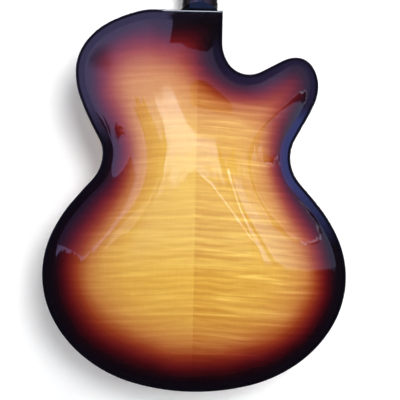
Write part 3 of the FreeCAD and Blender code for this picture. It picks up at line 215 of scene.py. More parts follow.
def face_loops(obj, wanted):
    """Closed loops of (x, z) round the faces whose normal's y passes the wanted test, largest first."""
    keys = [tuple(point) for point in np.round(mesh_points(obj), MICROMETRE)]
    sides = {}
    for face in obj.data.polygons:
        if wanted(face.normal.y):
            corners = [keys[k] for k in face.vertices]
            sides.update(dict.fromkeys(zip(corners, corners[1:] + corners[:1])))
    follows = {a: b for a, b in sides if (b, a) not in sides and a != b}
    loops = []
    while follows:
        start, here = follows.popitem()
        loop = [start]
        while here != start and here in follows:
            loop.append(here)
            here = follows.pop(here)
        loops.append(np.array([(x, z) for x, _, z in loop]))
    return sorted(loops, key=loop_extent, reverse=True)


def resampled(loop, step):
    """The loop with its long sides divided, so that no two points are further apart than step."""
    points = []
    for first, second in zip(loop, np.roll(loop, -1, axis=0)):
        parts = max(1, math.ceil(np.linalg.norm(second - first) / step))
        points += [first + (second - first) * k / parts for k in range(parts)]
    return np.array(points)


def inside(loop, points):
    crossed = np.zeros(len(points), bool)
    for (x0, z0), (x1, z1) in zip(loop, np.roll(loop, -1, axis=0)):
        if z0 == z1:
            continue
        level = (z0 > points[:, 1]) != (z1 > points[:, 1])
        crossed ^= level & (points[:, 0] < x0 + (x1 - x0) * (points[:, 1] - z0) / (z1 - z0))
    return crossed


OUTLINE = resampled(face_loops(nodes["back_binding"], lambda y: y < -FLAT_NORMAL)[0], OUTLINE_STEP)
AHEAD = np.roll(OUTLINE, -1, axis=0) - np.roll(OUTLINE, 1, axis=0)
SPANS = np.linalg.norm(AHEAD, axis=1) / 2


# The carved plates, with the sunburst that follows the outline

GRID = 3 * MM
GRID_CLEARANCE = GRID * 0.6
LEAST_HOLE = 10 * MM
LEAST_REACH = 0.2 * MM
CHUNK = 2000
KEEP_INSIDE, SAME_POINT = 1, 1e-7

BACK, TOP = 1, -1
PLATE_EDGE_Y = 40 * MM
PLATE_THICKNESS = 6 * MM
BACK_CROWN = 17 * MM
TOP_CROWN = 20 * MM
CRISP_EDGE = math.radians(50)

# The arch stays flat for FLAT_RIM from the edge, and is at its crown ARCH_RUN further in.
FLAT_RIM = 8 * MM
ARCH_RUN = 92 * MM
ARCH_POWER = 0.75

# How wide the dark border of the sunburst is at places round the outline: x, z and width in millimetres.
BORDER = np.array([
    (0, 0, 51), (87, 17, 52), (160, 61, 50), (202, 149, 48), (165, 236, 45), (123, 309, 40), (150, 372, 39),
    (162, 420, 43), (87, 502, 52), (0, 508, 72), (-33, 480, 58), (-73, 424, 40), (-141, 435, 44),
    (-162, 410, 37), (-129, 309, 25), (-174, 236, 37), (-200, 155, 41), (-165, 64, 43), (-87, 13, 48),
]) * MM
BORDER_BLUR = 10 * MM

# The honey of the middle fades towards the shoulders: heights above the tail, and the fade's top there.
UPPER_BOUT_FADE = (0.31, 0.375, 0.44)
UPPER_BOUT_CEILING = (3.2, 1.8, 1.45)
CEILING_POWER = 5


def chunks(points):
    return [slice(start, start + CHUNK) for start in range(0, len(points), CHUNK)]


def pull(points, power):
    """Sum over the whole edge of its length over the distance to a power, at each (x, z) point."""
    total = np.zeros(len(points))
    for part in chunks(points):
        gap = points[part, None, :] - OUTLINE[None, :, :]
        reach = np.maximum((gap ** 2).sum(2), LEAST_REACH ** 2)
        total[part] = (SPANS[None, :] / reach ** (power / 2)).sum(1)
    return total


def burst_at(points):
    """Distance from the edge as a share of the border's width there; 1 lies at the middle of the fade."""
    distance = (3 * math.pi / 8 / pull(points, 6)) ** 0.2  # exact beside a straight edge
    gap = points[:, None, :] - BORDER[None, :, :2]
    weight = 1 / ((gap ** 2).sum(2) + BORDER_BLUR ** 2) ** 1.5
    share = distance / ((weight * BORDER[None, :, 2]).sum(1) / weight.sum(1))
    ceiling = np.interp(points[:, 1], UPPER_BOUT_FADE, UPPER_BOUT_CEILING)
    return (share ** -CEILING_POWER + ceiling ** -CEILING_POWER) ** (-1 / CEILING_POWER)


def arch_at(points):
    """Height of the carved arch as a share of its crown."""
    distance = np.sqrt(2 / pull(points, 3))  # exact beside a straight edge
    rise = np.clip((distance - FLAT_RIM) / ARCH_RUN, 0, 1)
    return 0.5 - 0.5 * np.cos(np.pi * rise ** ARCH_POWER)


def clear_of(loops, points, gap):
    far = np.ones(len(points), bool)
    for loop in loops:
        for part in chunks(points):
            away = points[part, None, :] - loop[None, :, :]
            far[part] &= ((away ** 2).sum(2)).min(1) > gap ** 2
    return far


def plate_plan(node, sign):
    """Points (x, z) and faces that fill the carved side of a CAD half and leave its f-hole open."""
    loops = [resampled(loop, GRID) for loop in face_loops(node, lambda y: y * sign > CARVED_NORMAL)
             if loop_extent(loop) > LEAST_HOLE]
    rim, holes = loops[0], loops[1:]
    low, high = rim.min(0), rim.max(0)
    xs, zs = np.arange(low[0], high[0], GRID), np.arange(low[1], high[1], GRID)
    grid = np.array([(x + (row % 2) * GRID / 2, z) for row, z in enumerate(zs) for x in xs])
    grid = grid[inside(rim, grid) & clear_of(loops, grid, GRID_CLEARANCE)]
    for hole in holes:
        grid = grid[~inside(hole, grid)]
    flat, edges = [], []
    for loop in loops:
        start = len(flat)
        flat += [Vector(point) for point in loop]
        edges += [(start + k, start + (k + 1) % len(loop)) for k in range(len(loop))]
    flat += [Vector(point) for point in grid]
    verts, _, faces, *_ = delaunay_2d_cdt(flat, edges, [], KEEP_INSIDE, SAME_POINT)
    plan = np.array([tuple(vert) for vert in verts])
    middles = np.array([plan[list(face)].mean(0) for face in faces])
    solid = np.ones(len(faces), bool)
    for hole in holes:
        solid &= ~inside(hole, middles)
    return plan, [face for face, keep in zip(faces, solid) if keep]


def build_plate(name, sign, crown, lacquer, bare):
    """A carved plate: a fine smooth mesh in the place of a CAD half, with the sunburst stored on it."""
    plan, faces = plate_plan(nodes[name], sign)
    depth = sign * (PLATE_EDGE_Y + crown * arch_at(plan))
    verts = [(x, y, z) for (x, z), y in zip(plan, depth)]
    obj = add_mesh(name + "_skin", verts, [face if sign == TOP else face[::-1] for face in faces])
    mesh = obj.data
    burst = mesh.attributes.new("burst", "FLOAT", "POINT")
    burst.data.foreach_set("value", burst_at(plan).astype(np.float32))
    mesh.update()
    if sum(face.normal.y * sign for face in mesh.polygons) < 0:
        mesh.flip_normals()
    mesh.shade_smooth()
    mesh.materials.append(lacquer)
    mesh.materials.append(bare)
    shell = obj.modifiers.new("thickness", "SOLIDIFY")
    shell.thickness = PLATE_THICKNESS
    shell.offset = -1
    shell.material_offset = 1
    shell.material_offset_rim = 1
    crisp = obj.modifiers.new("crisp_rim", "EDGE_SPLIT")
    crisp.split_angle = CRISP_EDGE
    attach(obj, "guitar")
    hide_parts(name)


# Materials

# The sunburst's colours, by the distance from the edge that burst_at gives.
BURST_STOPS = [
    (0.0, (7, 3, 7)), (0.25, (12, 3, 8)), (0.4, (32, 3, 10)), (0.55, (62, 4, 10)), (0.7, (96, 14, 16)),
    (0.85, (125, 35, 20)), (1.0, (149, 60, 27)), (1.15, (172, 94, 45)), (1.35, (196, 128, 64)),
    (1.6, (211, 153, 74)), (2.0, (221, 171, 77)), (2.6, (228, 181, 79)),
]
BURST_TOP = BURST_STOPS[-1][0]

# The figure's lines fall away from the seam, beat at a period of their own, and darken blue more than red.
FIGURE_LEAN = 0.06
BEAT_PERIOD = 9.5 * MM
FIGURE_POWERS = (0.75, 1.5, 2.6)

COAT_IOR = 1.5


def sunburst(name, flame, period):
    """Clear gloss lacquer over two halves: dark edge, honey middle, a figure mirrored at the seam, and
    painted shade towards the tail.
    """
    made, tree = material(name)
    place = tree.place()
    x, _, z = tree.axes()
    side = tree.size(x)
    treble = tree.math("LESS_THAN", x, 0.0)
    level = tree.plus(z, tree.times(side, FIGURE_LEAN))
    sheet = tree.add("ShaderNodeCombineXYZ", {0: side, 1: x, 2: level}).outputs[0]

    broad = tree.noise(sheet, (3, 0.6, 50), detail=3.0, roughness=0.55, distortion=0.5)
    fine = tree.noise(sheet, (7, 0.8, 1 / period), roughness=0.6, distortion=0.35)
    waver = tree.times(tree.noise(sheet, (9, 1.0, 22), detail=3.0, roughness=0.6), 3.2)
    beat = tree.math("SINE", tree.times(tree.plus(tree.times(level, 1 / BEAT_PERIOD), waver), math.tau))
    stripes = tree.plus(tree.times(broad, 0.22), tree.times(fine, 0.78), tree.times(beat, 0.055))
    lines = tree.span(stripes, 0.36, 0.64, -flame, flame)
    lines = tree.times(lines, tree.span(treble, 0.0, 1.0, 0.7, 1.15))
    threads = tree.span(fine, 0.58, 0.68, 0.0, flame * 1.2)
    threads = tree.times(threads, tree.span(treble, 0.0, 1.0, 0.35, 1.0))
    beside_seam = tree.times(tree.span(side, 0.0, 0.06, 0.13, 0.03), treble)
    figure = tree.minus(tree.plus(lines, threads, 1.0), beside_seam)
    grain = tree.spread(tree.noise(place, (900, 900, 40)), 0.975, 1.02)
    # Painted shade: the colour darkens towards the tail, in place of light that falls off from above.
    painted_shade_towards_tail = tree.span(z, 0.06, 0.27, 0.92, 1.0)
    shade = tree.times(figure, grain, painted_shade_towards_tail)

    burst = tree.add("ShaderNodeAttribute", attribute_name="burst").outputs["Fac"]
    wander = tree.spread(tree.noise(place, 14.0), -0.05, 0.05)
    faded = tree.math("DIVIDE", tree.plus(burst, wander), BURST_TOP)
    stain = tree.ramp(faded, [(stop / BURST_TOP, linear(*colour)) for stop, colour in BURST_STOPS])
    tints = tree.tint(*[tree.math("POWER", shade, power) for power in FIGURE_POWERS])
    tree.surface(base_color=tree.mix(1.0, stain, tints, "MULTIPLY"), roughness=0.42, specular_ior_level=0.08,
                 coat_weight=1.0, coat_roughness=0.02, coat_ior=COAT_IOR)
    return made


def bare_wood(name, light, dark):
    made, tree = material(name)
    lines = tree.noise(tree.place(), (260, 260, 9), detail=3.0, roughness=0.6)
    colour = tree.ramp(lines, [(0.3, linear(*dark)), (0.7, linear(*light))])
    tree.surface(base_color=colour, roughness=0.7, normal=tree.bump(lines, 0.15, 0.2 * MM))
    return made


def dark_lacquer(name, edge, middle, reach):
    """Flame figure that barely shows through stain, which turns to the edge colour at reach from y = 0."""
    made, tree = material(name)
    _, y, _ = tree.axes()
    halfway = [(a + b) / 2 for a, b in zip(middle, edge)]
    stops = [(0.0, linear(*middle)), (0.55, linear(*halfway)), (1.0, linear(*edge))]
    stain = tree.ramp(tree.span(tree.size(y), 0.0, reach), stops)
    figure = tree.noise(tree.place(), (25, 25, 150), detail=3.0, roughness=0.6, distortion=0.4)
    shade = tree.spread(figure, 0.72, 1.25)
    colour = tree.mix(1.0, stain, tree.tint(shade, shade, shade), "MULTIPLY")
    tree.surface(base_color=colour, roughness=0.4, specular_ior_level=0.3,
                 coat_weight=1.0, coat_roughness=0.03, coat_ior=COAT_IOR)
    return made


def gloss_plastic(name, colour, mottle, roughness=0.16, gloss=0.4):
    made, tree = material(name)
    place = tree.place()
    stops = [(0.3, linear(*colour)), (0.75, linear(*mottle))]
    blotches = tree.ramp(tree.noise(place, 60.0, detail=3.0), stops)
    wear = tree.span(tree.noise(place, (300, 300, 90)), 0.3, 0.75, roughness, roughness + 0.1)
    tree.surface(base_color=blotches, roughness=wear, specular_ior_level=gloss,
                 coat_weight=gloss, coat_roughness=0.05)
    return made


def metal(name, colour, roughness, brushed=(500, 500, 500)):
    made, tree = material(name)
    place = tree.place()
    lines = tree.noise(place, brushed, detail=3.0)
    brushing = tree.spread(lines, roughness * 0.75, roughness * 1.3)
    worn = [value * 0.93 for value in colour]
    patina = tree.ramp(tree.noise(place, 90.0, detail=3.0), [(0.35, linear(*worn)), (0.6, linear(*colour))])
    tree.surface(base_color=patina, metallic=1.0, roughness=brushing,
                 normal=tree.bump(lines, 0.05, 0.05 * MM))
    return made


BACK_LACQUER = sunburst("back_lacquer", flame=0.12, period=6.5 * MM)
TOP_LACQUER = sunburst("top_lacquer", flame=0.03, period=9.0 * MM)
BARE = bare_wood("bare_spruce", light=(222, 184, 132), dark=(190, 146, 96))
RIB = dark_lacquer("rib_lacquer", edge=(10, 5, 8), middle=(62, 14, 20), reach=34 * MM)
NECK = dark_lacquer("neck_lacquer", edge=(12, 7, 10), middle=(30, 10, 13), reach=60 * MM)
BLACK = gloss_plastic("black_gloss", (7, 7, 9), (11, 11, 14), roughness=0.06, gloss=0.25)
BINDING = gloss_plastic("binding", (5, 5, 7), (9, 9, 12), roughness=0.08, gloss=0.35)
EBONY = dark_lacquer("ebony", edge=(24, 20, 18), middle=(34, 28, 25), reach=80 * MM)
NICKEL = metal("nickel", (214, 210, 204), roughness=0.16)
STEEL = metal("steel", (176, 176, 180), roughness=0.3)
FRET = metal("fret_wire", (208, 204, 194), roughness=0.2)
BRASS = metal("brass", (212, 172, 96), roughness=0.22)
BRONZE = metal("wound_wire", (196, 168, 128), roughness=0.28, brushed=(900, 900, 2600))
PEARL = gloss_plastic("pearl", (236, 232, 222), (206, 214, 214))
BONE = gloss_plastic("bone", (228, 217, 190), (214, 200, 170), roughness=0.4)
CREAM = gloss_plastic("button_cream", (222, 208, 172), (206, 188, 148))
KNOB = gloss_plastic("knob_black", (10, 10, 11), (16, 16, 18), roughness=0.2)

for half_name in ("bass", "treble"):
    build_plate("back_plate_" + half_name, BACK, BACK_CROWN, BACK_LACQUER, BARE)
    build_plate("top_plate_" + half_name, TOP, TOP_CROWN, TOP_LACQUER, BARE)

dress(["rib_bass", "rib_treble"], RIB)
dress(["back_linings", "top_linings", "head_block", "tail_block", "tone_bars"], BARE)
dress(["back_binding", "top_binding"], BINDING)
dress(["neck"], NECK)
dress(["heel_cap", "headplate", "truss_rod_cover", "pickguard"], BLACK)
dress(["fretboard", "bridge_base", "bridge_saddle", "tailpiece"], EBONY)
dress(["frets"], FRET)
dress(["position_markers"], PEARL)
dress(["nut"], BONE)
dress(["truss_rod", "potentiometers", "pole_pieces"], STEEL)
dress(["tuner_housings", "tuner_bushings", "tuner_screws", "endpin_jack", "tailpiece_hanger", "fixing_screws",
       "pickguard_bracket", "pickup", "pickup_bracket"], NICKEL)
dress(["bridge_posts", "thumbwheel_bass", "thumbwheel_treble"], BRASS)
dress(["knob_volume", "knob_tone"], KNOB)
dress([f"tuner_post_{number}" for number in STRING_NUMBERS], NICKEL)
dress([f"tuner_button_{number}" for number in STRING_NUMBERS], CREAM)


# Strings

PLAIN_STRINGS = (1, 2)
WIRE_SIDES = 10
STATION_GAP = 10 * MM
BEHIND_PARTS, SOUNDING_PARTS, HEAD_PARTS = 12, 40, 4

# Turns on a post lie PITCH apart and end REST above the bushing, both in radii of the wire.
MOST_TURNS = 4.0
TURN_STEPS = 24
LEAST_STEPS = 8
PITCH = 2.1
REST = 1.2
BUSHING_REACH = 8 * MM


def tube(name, path, radius, finish):
    """A round wire along a list of points, closed at both ends."""
    verts, faces = [], []
    lift = Vector((0, -1, 0))
    for k, point in enumerate(path):
        ahead = (path[min(k + 1, len(path) - 1)] - path[max(k - 1, 0)]).normalized()
        lift = (lift - ahead * lift.dot(ahead)).normalized()
        across = ahead.cross(lift)
        for turn in range(WIRE_SIDES):
            angle = math.tau * turn / WIRE_SIDES
            verts.append(point + (lift * math.cos(angle) + across * math.sin(angle)) * radius)
    last = (len(path) - 1) * WIRE_SIDES
    for here in range(0, last, WIRE_SIDES):
        beyond = here + WIRE_SIDES
        for turn in range(WIRE_SIDES):
            after = (turn + 1) % WIRE_SIDES
            faces.append((here + turn, here + after, beyond + after, beyond + turn))
    faces += [tuple(range(WIRE_SIDES - 1, -1, -1)), tuple(range(last, last + WIRE_SIDES))]
    obj = add_mesh(name, verts, faces)
    obj.data.shade_smooth()
    obj.data.materials.append(finish)
    return obj


def string_stations(node):
    """Tail, saddle, nut and post points of a string, and its radius, from the rings of its solid."""
    points = mesh_points(node)
    points = points[np.argsort(points[:, 2])]
    breaks = np.nonzero(np.diff(points[:, 2]) > STATION_GAP)[0] + 1
    rings = np.split(points, breaks)
    centres = [Vector((ring.min(0) + ring.max(0)) / 2) for ring in rings]
    return centres, np.ptp(rings[0][:, 0]) / 2


def spaced(first, last, count):
    return [first.lerp(last, k / count) for k in range(count + 1)]


def joint_line(name):
    joint = next(joint for joint in frame["joints"] if joint["name"] == name)
    return Vector(joint["pos_m"]), Vector(joint["axis"]).normalized()


def winding_path(number, end, start_from, radius):
    """Turns of a string on its post, from the point where it meets the post down to the bushing."""
    origin, out = joint_line(f"tuner_post_{number}_turn")
    if out.y > 0:
        out = -out
    level = (end - origin).dot(out)
    spoke = end - origin - out * level
    bushing = mesh_points(nodes["tuner_bushings"]) - np.array(origin)
    heights = bushing @ np.array(out)
    near = np.linalg.norm(bushing - heights[:, None] * np.array(out), axis=1) < BUSHING_REACH
    room = level - heights[near].max() - REST * radius
    pitch = PITCH * radius
    turns = min(MOST_TURNS, room / pitch)
    sideways = out.cross(spoke)
    if sideways.dot(end - start_from) < 0:
        sideways = -sideways
    path = []
    for turned in np.linspace(0, turns, max(LEAST_STEPS, round(turns * TURN_STEPS)) + 1):
        angle = math.tau * turned
        height = level - pitch * turned
        path.append(origin + out * height + spoke * math.cos(angle) + sideways * math.sin(angle))
    return path


def build_string(number, finish):
    node = nodes[f"string_{number}"]
    (tail, saddle, nut, post), radius = string_stations(node)
    behind = tube(f"string_{number}_behind", spaced(tail, saddle, BEHIND_PARTS), radius, finish)
    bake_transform(behind)
    sounding = tube(f"string_{number}_sounding", spaced(nut, saddle, SOUNDING_PARTS), radius, finish)
    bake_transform(sounding)
    head = tube(f"string_{number}_head", spaced(nut, post, HEAD_PARTS), radius, finish)
    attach(head, "guitar")
    wound = tube(f"string_{number}_winding", winding_path(number, post, nut, radius), radius, finish)
    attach(wound, f"tuner_post_{number}")
    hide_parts(f"string_{number}")


for string_number in STRING_NUMBERS:
    if string_number in PLAIN_STRINGS:
        build_string(string_number, STEEL)
    else:
        build_string(string_number, BRONZE)


# Backdrop and floor

WALL_Y = -0.11
FLOOR_Z = -0.9
FLOOR_Y = 2.0
STAGE_HALF = 4.0

# The backdrop glows less near the guitar's long axis, from AXIS_LOW to AXIS_HIGH, so that the shadow shows.
AXIS_LOW, AXIS_HIGH = 0.1, 0.95
SHADOW_NEAR, SHADOW_FAR = 0.26, 0.6


def rectangle(name, centre, across, up):
    corners = [centre - across - up, centre + across - up, centre + across + up, centre - across + up]
    return add_mesh(name, corners, [(0, 1, 2, 3)])


def seen_by_camera(tree):
    """1 on rays from the camera and in mirrors and glass, 0 on the rays that light the object."""
    path = tree.add("ShaderNodeLightPath")
    seen = tree.math("MAXIMUM", path.outputs["Is Camera Ray"], path.outputs["Is Glossy Ray"])
    return tree.math("MAXIMUM", seen, path.outputs["Is Transmission Ray"])


def pale_paint(tree, grey, glow):
    """Plain pale paint with a glow of its own that lights nothing."""
    paint = tree.add("ShaderNodeBsdfDiffuse", {"Color": (grey, grey, grey, 1)})
    light = tree.add("ShaderNodeEmission", {"Strength": tree.times(seen_by_camera(tree), glow)})
    return tree.add("ShaderNodeAddShader", {0: paint.outputs[0], 1: light.outputs[0]}).outputs[0]


def from_guitar(tree):
    """Distance on the wall from the guitar's long axis."""
    x, _, z = tree.axes()
    beyond = tree.math("MAXIMUM", tree.minus(z, AXIS_HIGH), tree.minus(AXIS_LOW, z))
    beyond = tree.math("MAXIMUM", beyond, 0.0)
    return tree.math("SQRT", tree.plus(tree.math("POWER", x, 2.0), tree.math("POWER", beyond, 2.0)))


def build_wall():
    """A pale wall on the guitar's string side that shows its shadow and is clear from its other side."""
    middle = Vector((0, WALL_Y, 0))
    wall = rectangle("backdrop", middle, Vector((-STAGE_HALF, 0, 0)), Vector((0, 0, STAGE_HALF)))
    made, tree = material("backdrop")
    lit = pale_paint(tree, 0.95, tree.span(from_guitar(tree), SHADOW_NEAR, SHADOW_FAR, 0.2, 0.9))
    open_side = tree.add("ShaderNodeBsdfTransparent").outputs[0]
    back = tree.add("ShaderNodeNewGeometry").outputs["Backfacing"]
    tree.output(tree.add("ShaderNodeMixShader", {0: back, 1: lit, 2: open_side}).outputs[0])
    wall.data.materials.append(made)
    wall.visible_diffuse = False
    wall.visible_glossy = False
    wall.visible_shadow = False


def build_floor():
    """A plain pale floor below the hanging guitar."""
    middle = Vector((0, FLOOR_Y, FLOOR_Z))
    floor = rectangle("floor", middle, Vector((STAGE_HALF, 0, 0)), Vector((0, STAGE_HALF, 0)))
    made, tree = material("floor")
    tree.output(pale_paint(tree, 0.9, 0.75))
    floor.data.materials.append(made)
    floor.visible_glossy = False


# What the lacquer mirrors: a room of cards that no other ray meets

ROOM_MIDDLE = Vector((0, -0.1, 0.4))
ROOM_WIDE, ROOM_DEEP, ROOM_TALL = Vector((4, 0, 0)), Vector((0, 2.1, 0)), Vector((0, 0, 4))

# On the wall that the back mirrors: the window, and the curtain's edge with the height that it leans from.
SILL = 0.42
SILL_SOFT = (0.41, 0.44)
WINDOW_TREBLE, WINDOW_BASS = -0.26, 0.4
CURTAIN_EDGE, CURTAIN_TOP, CURTAIN_LEAN = -0.42, 0.45, 0.22

DIM = (0.02, 0.02, 0.03, 1)
SKY = (1.2, 1.05, 2.2, 1)
PANE = (3.4, 3.8, 4.0, 1)
UNDER_SILL = (0.5, 0.9, 1.2, 1)
APRON = (1.3, 1.4, 1.4, 1)
CURTAIN = (1.8, 2.2, 3.8, 1)
RIDGE = (7.0, 7.0, 7.2, 1)
HEM = (8.0, 8.0, 8.0, 1)
CREST = (3.4, 3.2, 4.0, 1)

# Shades close to the back, which keep the sky off it by the heel, beside the cutaway and at the bass waist.
# Their corners are x and z in millimetres.
SHADE_Y = 0.12
HEEL_SHADE = [(-75, 488), (-52, 486), (-23, 491), (0, 497), (16, 510), (40, 514), (40, 610), (-75, 610)]
CAP_SHADE = [(4, 402), (-4, 437), (-18, 449), (-35, 458), (-50, 461), (-58, 456), (-62, 440), (-64, 425),
             (-60, 402)]
WAIST_SHADE = [(147, 322), (124, 300), (128, 261), (153, 216), (193, 178), (231, 196), (222, 240), (195, 275),
               (173, 305)]
DUSK = (0.22, 0.16, 0.4, 1)

CAMERA_SPOT = Vector((-6.0 * MM, 0.84, 256.5 * MM))

# A ring closer still, which only the flat rim of the back mirrors: dark outside, and sky in places inside.
RIM_Y = 0.055
RIM_DARK = 4.0 * MM
RIM_WIDTH = 8.5 * MM
RIM_NIGHT = (0.02, 0.03, 0.08, 1)
RIM_DIM = (0.02, 0.02, 0.05, 1)
RIM_SHOULDER = (0.8, 0.72, 1.7, 1)
RIM_HORN = (0.3, 0.25, 0.8, 1)
RIM_WAIST = (0.75, 1.0, 3.3, 1)

# Cards by the heel, which its cap and the body's upper edge mirror: light, middle, half width, half height.
HEEL_CARDS = {
    "heel_sky": ((0.3, 0.52, 1.5, 1), Vector((-0.004, 0.058, 0.5555)), 17.5 * MM, 44.5 * MM),
    "heel_line": ((21.0, 23.0, 27.0, 1), Vector((0.007, 0.044, 0.5098)), 42.5 * MM, 0.6 * MM),
}


def mirrored_only(wall, finish):
    """Makes a wall of the room, or a card in it, that shows in mirrors and nowhere else."""
    wall.data.materials.append(finish)
    wall.visible_camera = False
    wall.visible_diffuse = False
    wall.visible_shadow = False
    wall.visible_transmission = False


def plain_light(name, light):
    made, tree = material(name)
    tree.emit(light)
    return made


def far_view():
    """A lavender sky over ragged hills, and a pale window with a curtain straight behind the camera."""
    made, tree = material("room")
    across, _, up = tree.axes()
    jag = tree.spread(tree.noise(tree.place(), 4.5, detail=6.0, roughness=0.7), -0.08, 0.08)
    near, high = tree.plus(across, jag), tree.plus(up, jag)

    along = tree.add("ShaderNodeCombineXYZ", {0: across}).outputs[0]
    ragged = tree.spread(tree.noise(along, 2.2, detail=4.0, roughness=0.62), -0.26, 0.26)
    hills = tree.plus(ragged, tree.span(across, 1.0, 1.3, 0.55, 0.16))
    skyline = tree.minus(up, hills)
    corner = tree.times(tree.span(across, 0.95, 1.25), tree.span(up, 0.8, 1.2))
    sky = tree.times(tree.span(skyline, 0.0, 0.03), tree.span(across, -0.4, 0.1, 0.45, 0.85),
                     tree.span(across, 0.35, 0.65, 1.0, 1.5), tree.span(corner, 0.0, 1.0, 1.0, 0.35))
    crest = tree.times(tree.band(skyline, -0.01, 0.015, 0.012), tree.span(across, -0.7, -0.9))

    over_sill, under_sill = tree.span(high, *SILL_SOFT), tree.span(high, *reversed(SILL_SOFT))
    head = tree.minus(tree.span(near, -0.02, 0.06, 0.66, 0.98), tree.span(near, 0.15, 0.28, 0.0, 0.16))
    below_head = tree.span(tree.minus(up, head), 0.06, -0.06)
    window = tree.times(tree.band(near, WINDOW_TREBLE, WINDOW_BASS, 0.015), over_sill, below_head)
    below = tree.times(tree.band(near, -0.4, 0.5, 0.1), tree.band(up, 0.0, SILL, 0.1))

    bass_fall = tree.times(tree.math("MAXIMUM", near, 0.0), 0.2)
    treble_fall = tree.times(tree.math("MINIMUM", near, 0.0), -0.55)
    slope = tree.plus(tree.minus(high, SILL), bass_fall, treble_fall)
    apron = tree.times(tree.span(slope, 0.0, 0.02), tree.band(near, 0.1, 1.0, 0.02), under_sill)
    ridge = tree.times(tree.band(slope, -0.008, 0.008, 0.006), tree.band(near, -0.55, 0.0, 0.02))

    lean = tree.times(tree.minus(CURTAIN_TOP, high), CURTAIN_LEAN)
    cloth = tree.plus(tree.minus(near, CURTAIN_EDGE), lean)
    curtain = tree.times(tree.span(cloth, 0.0, -0.015), tree.band(high, 0.02, 0.5, 0.02),
                         tree.span(near, -1.3, -0.5, 0.3, 1.0))
    hem = tree.times(tree.band(cloth, -0.016, 0.008, 0.008), tree.band(high, 0.2, 0.5, 0.01))
    bar_line = tree.span(up, -0.1, 0.44, 0.775, 0.44)
    beside_bar = tree.span(tree.size(tree.minus(tree.size(across), bar_line)), 0.03, 0.06)
    apron, curtain = tree.times(apron, beside_bar), tree.times(curtain, beside_bar)

    glow = DIM
    for mask, light in ((sky, SKY), (window, PANE), (below, UNDER_SILL), (apron, APRON), (curtain, CURTAIN),
                        (ridge, RIDGE), (hem, HEM), (crest, CREST)):
        glow = tree.mix(mask, glow, tree.mix(1.0, glow, light, "ADD"))
    tree.emit(glow)
    return made


def soft_panels():
    """Two tall soft panels on a dim wall, for the top's lacquer."""
    made, tree = material("soft_panels")
    x, _, z = tree.axes()
    wide = tree.size(tree.minus(tree.size(x), 1.3))
    tall = tree.size(tree.minus(z, 0.9))
    pane = tree.times(tree.span(wide, 0.5, 0.3), tree.span(tall, 1.3, 0.9))
    tree.emit((1, 1, 1, 1), tree.span(pane, 0.0, 1.0, 0.3, 1.8))
    return made


def dim_wall():
    """An almost dark wall with one faint strip."""
    made, tree = material("dim_wall")
    _, y, _ = tree.axes()
    tree.emit((0.92, 0.95, 1.0, 1), tree.span(tree.size(tree.minus(y, 0.9)), 0.45, 0.25, 0.025, 0.4))
    return made


def ceiling_light():
    made, tree = material("ceiling_light")
    x, _, _ = tree.axes()
    tree.emit((0.95, 0.93, 1.0, 1), tree.span(tree.size(x), 0.6, 0.4, 0.03, 5.0))
    return made


def rim_sky():
    """The sky in the flat rim: lavender at the bass shoulder, dim at the horn, blue at the treble waist."""
    made, tree = material("rim_sky")
    across, _, up = tree.axes()
    treble = tree.span(across, 0.0, -0.05)
    shoulder = tree.times(tree.span(across, 0.035, 0.045), tree.span(up, 0.33, 0.38))
    horn = tree.times(treble, tree.span(up, 0.365, 0.385), tree.span(up, 0.48, 0.46))
    waist = tree.times(treble, tree.span(up, 0.2, 0.28), tree.span(up, 0.385, 0.365))
    glow = RIM_DIM
    for mask, light in ((shoulder, RIM_SHOULDER), (horn, RIM_HORN), (waist, RIM_WAIST)):
        glow = tree.mix(mask, glow, light)
    tree.emit(glow)
    return made


def rim_loop(inset):
    """The outline drawn in by inset, moved to where the camera sees it mirrored in the flat rim."""
    inward = np.stack([-AHEAD[:, 1], AHEAD[:, 0]], 1) / np.linalg.norm(AHEAD, axis=1)[:, None]
    if inside(OUTLINE, OUTLINE + inward * MM).mean() < 0.5:
        inward = -inward
    drawn_in = OUTLINE + inward * inset
    reach = (RIM_Y - PLATE_EDGE_Y) / (CAMERA_SPOT.y - PLATE_EDGE_Y)
    return drawn_in + reach * (drawn_in - np.array((CAMERA_SPOT.x, CAMERA_SPOT.z)))


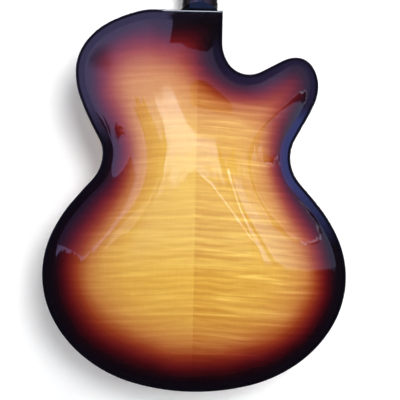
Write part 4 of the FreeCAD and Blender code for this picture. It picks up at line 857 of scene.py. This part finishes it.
def build_room():
    dim = dim_wall()
    for name, middle, across, along, finish in (
            ("room", ROOM_MIDDLE + ROOM_DEEP, ROOM_WIDE, ROOM_TALL, far_view()),
            ("room_front", ROOM_MIDDLE - ROOM_DEEP, ROOM_WIDE, ROOM_TALL, soft_panels()),
            ("room_bass", ROOM_MIDDLE + ROOM_WIDE, ROOM_DEEP, ROOM_TALL, dim),
            ("room_treble", ROOM_MIDDLE - ROOM_WIDE, ROOM_DEEP, ROOM_TALL, dim),
            ("room_floor", ROOM_MIDDLE - ROOM_TALL, ROOM_DEEP, ROOM_WIDE, dim),
            ("room_ceiling", ROOM_MIDDLE + ROOM_TALL, ROOM_DEEP, ROOM_WIDE, ceiling_light())):
        mirrored_only(rectangle(name, middle, across, along), finish)
    for name, shape, finish in (("heel_shade", HEEL_SHADE, dim), ("cap_shade", CAP_SHADE, dim),
                                ("waist_shade", WAIST_SHADE, plain_light("dusk", DUSK))):
        verts = [(x * MM, SHADE_Y, z * MM) for x, z in shape]
        mirrored_only(add_mesh(name, verts, [tuple(range(len(verts)))]), finish)
    count = len(OUTLINE)
    ring = [(k, (k + 1) % count, count + (k + 1) % count, count + k) for k in range(count)]
    for name, outer, inner, finish in (("rim_dark", 0.0, RIM_DARK, plain_light("rim_dark", RIM_NIGHT)),
                                       ("rim_sky", RIM_DARK, RIM_WIDTH, rim_sky())):
        verts = [(x, RIM_Y, z) for x, z in np.concatenate([rim_loop(outer), rim_loop(inner)])]
        mirrored_only(add_mesh(name, verts, ring), finish)
    for name, (light, middle, half_width, half_height) in HEEL_CARDS.items():
        card = rectangle(name, middle, Vector((half_width, 0, 0)), Vector((0, 0, half_height)))
        mirrored_only(card, plain_light(name, light))


# Light and camera

SENSOR = 36.0
PICTURE_WIDTH = 0.5335
CAMERA_ROLL = math.radians(1.15)


def area_light(name, place, target, width, power):
    data = bpy.data.lights.new(name, "AREA")
    data.shape = "DISK"
    data.size = width
    data.energy = power
    lamp = bpy.data.objects.new(name, data)
    scene.collection.objects.link(lamp)
    lamp.location = place
    lamp.rotation_euler = (Vector(target) - Vector(place)).to_track_quat("-Z", "Y").to_euler()
    lamp.visible_glossy = False


def build_world():
    """A cool fill for the object, and plain white past the stage."""
    world = bpy.data.worlds.new("studio")
    scene.world = world
    world.use_nodes = True
    tree = Nodes(world.node_tree)
    fill = tree.add("ShaderNodeBackground", {"Color": (0.9, 0.93, 1.0, 1), "Strength": 0.24})
    white = tree.add("ShaderNodeBackground", {"Color": (1, 1, 1, 1), "Strength": 1.0})
    both = tree.add("ShaderNodeMixShader", {0: seen_by_camera(tree), 1: fill.outputs[0], 2: white.outputs[0]})
    tree.add("ShaderNodeOutputWorld", {0: both.outputs[0]})


def build_camera():
    """The photograph's view: square to the back, with PICTURE_WIDTH in the picture at the body's rim."""
    data = bpy.data.cameras.new("camera")
    data.sensor_width = SENSOR
    data.lens = SENSOR * (CAMERA_SPOT.y - PLATE_EDGE_Y) / PICTURE_WIDTH
    camera = bpy.data.objects.new("camera", data)
    scene.collection.objects.link(camera)
    roll = Matrix.Rotation(CAMERA_ROLL, 3, "Y")
    right, up, back = roll @ Vector((-1, 0, 0)), roll @ Vector((0, 0, 1)), Vector((0, 1, 0))
    camera.matrix_world = Matrix.Translation(CAMERA_SPOT) @ Matrix((right, up, back)).transposed().to_4x4()
    scene.camera = camera


build_wall()
build_floor()
build_room()
build_world()
build_camera()
area_light("key", place=(-0.30, 1.3, 0.55), target=(0, 0, 0.25), width=0.4, power=16.6)
area_light("front", place=(0.5, -1.6, 1.2), target=(0, 0, 0.4), width=1.0, power=27)
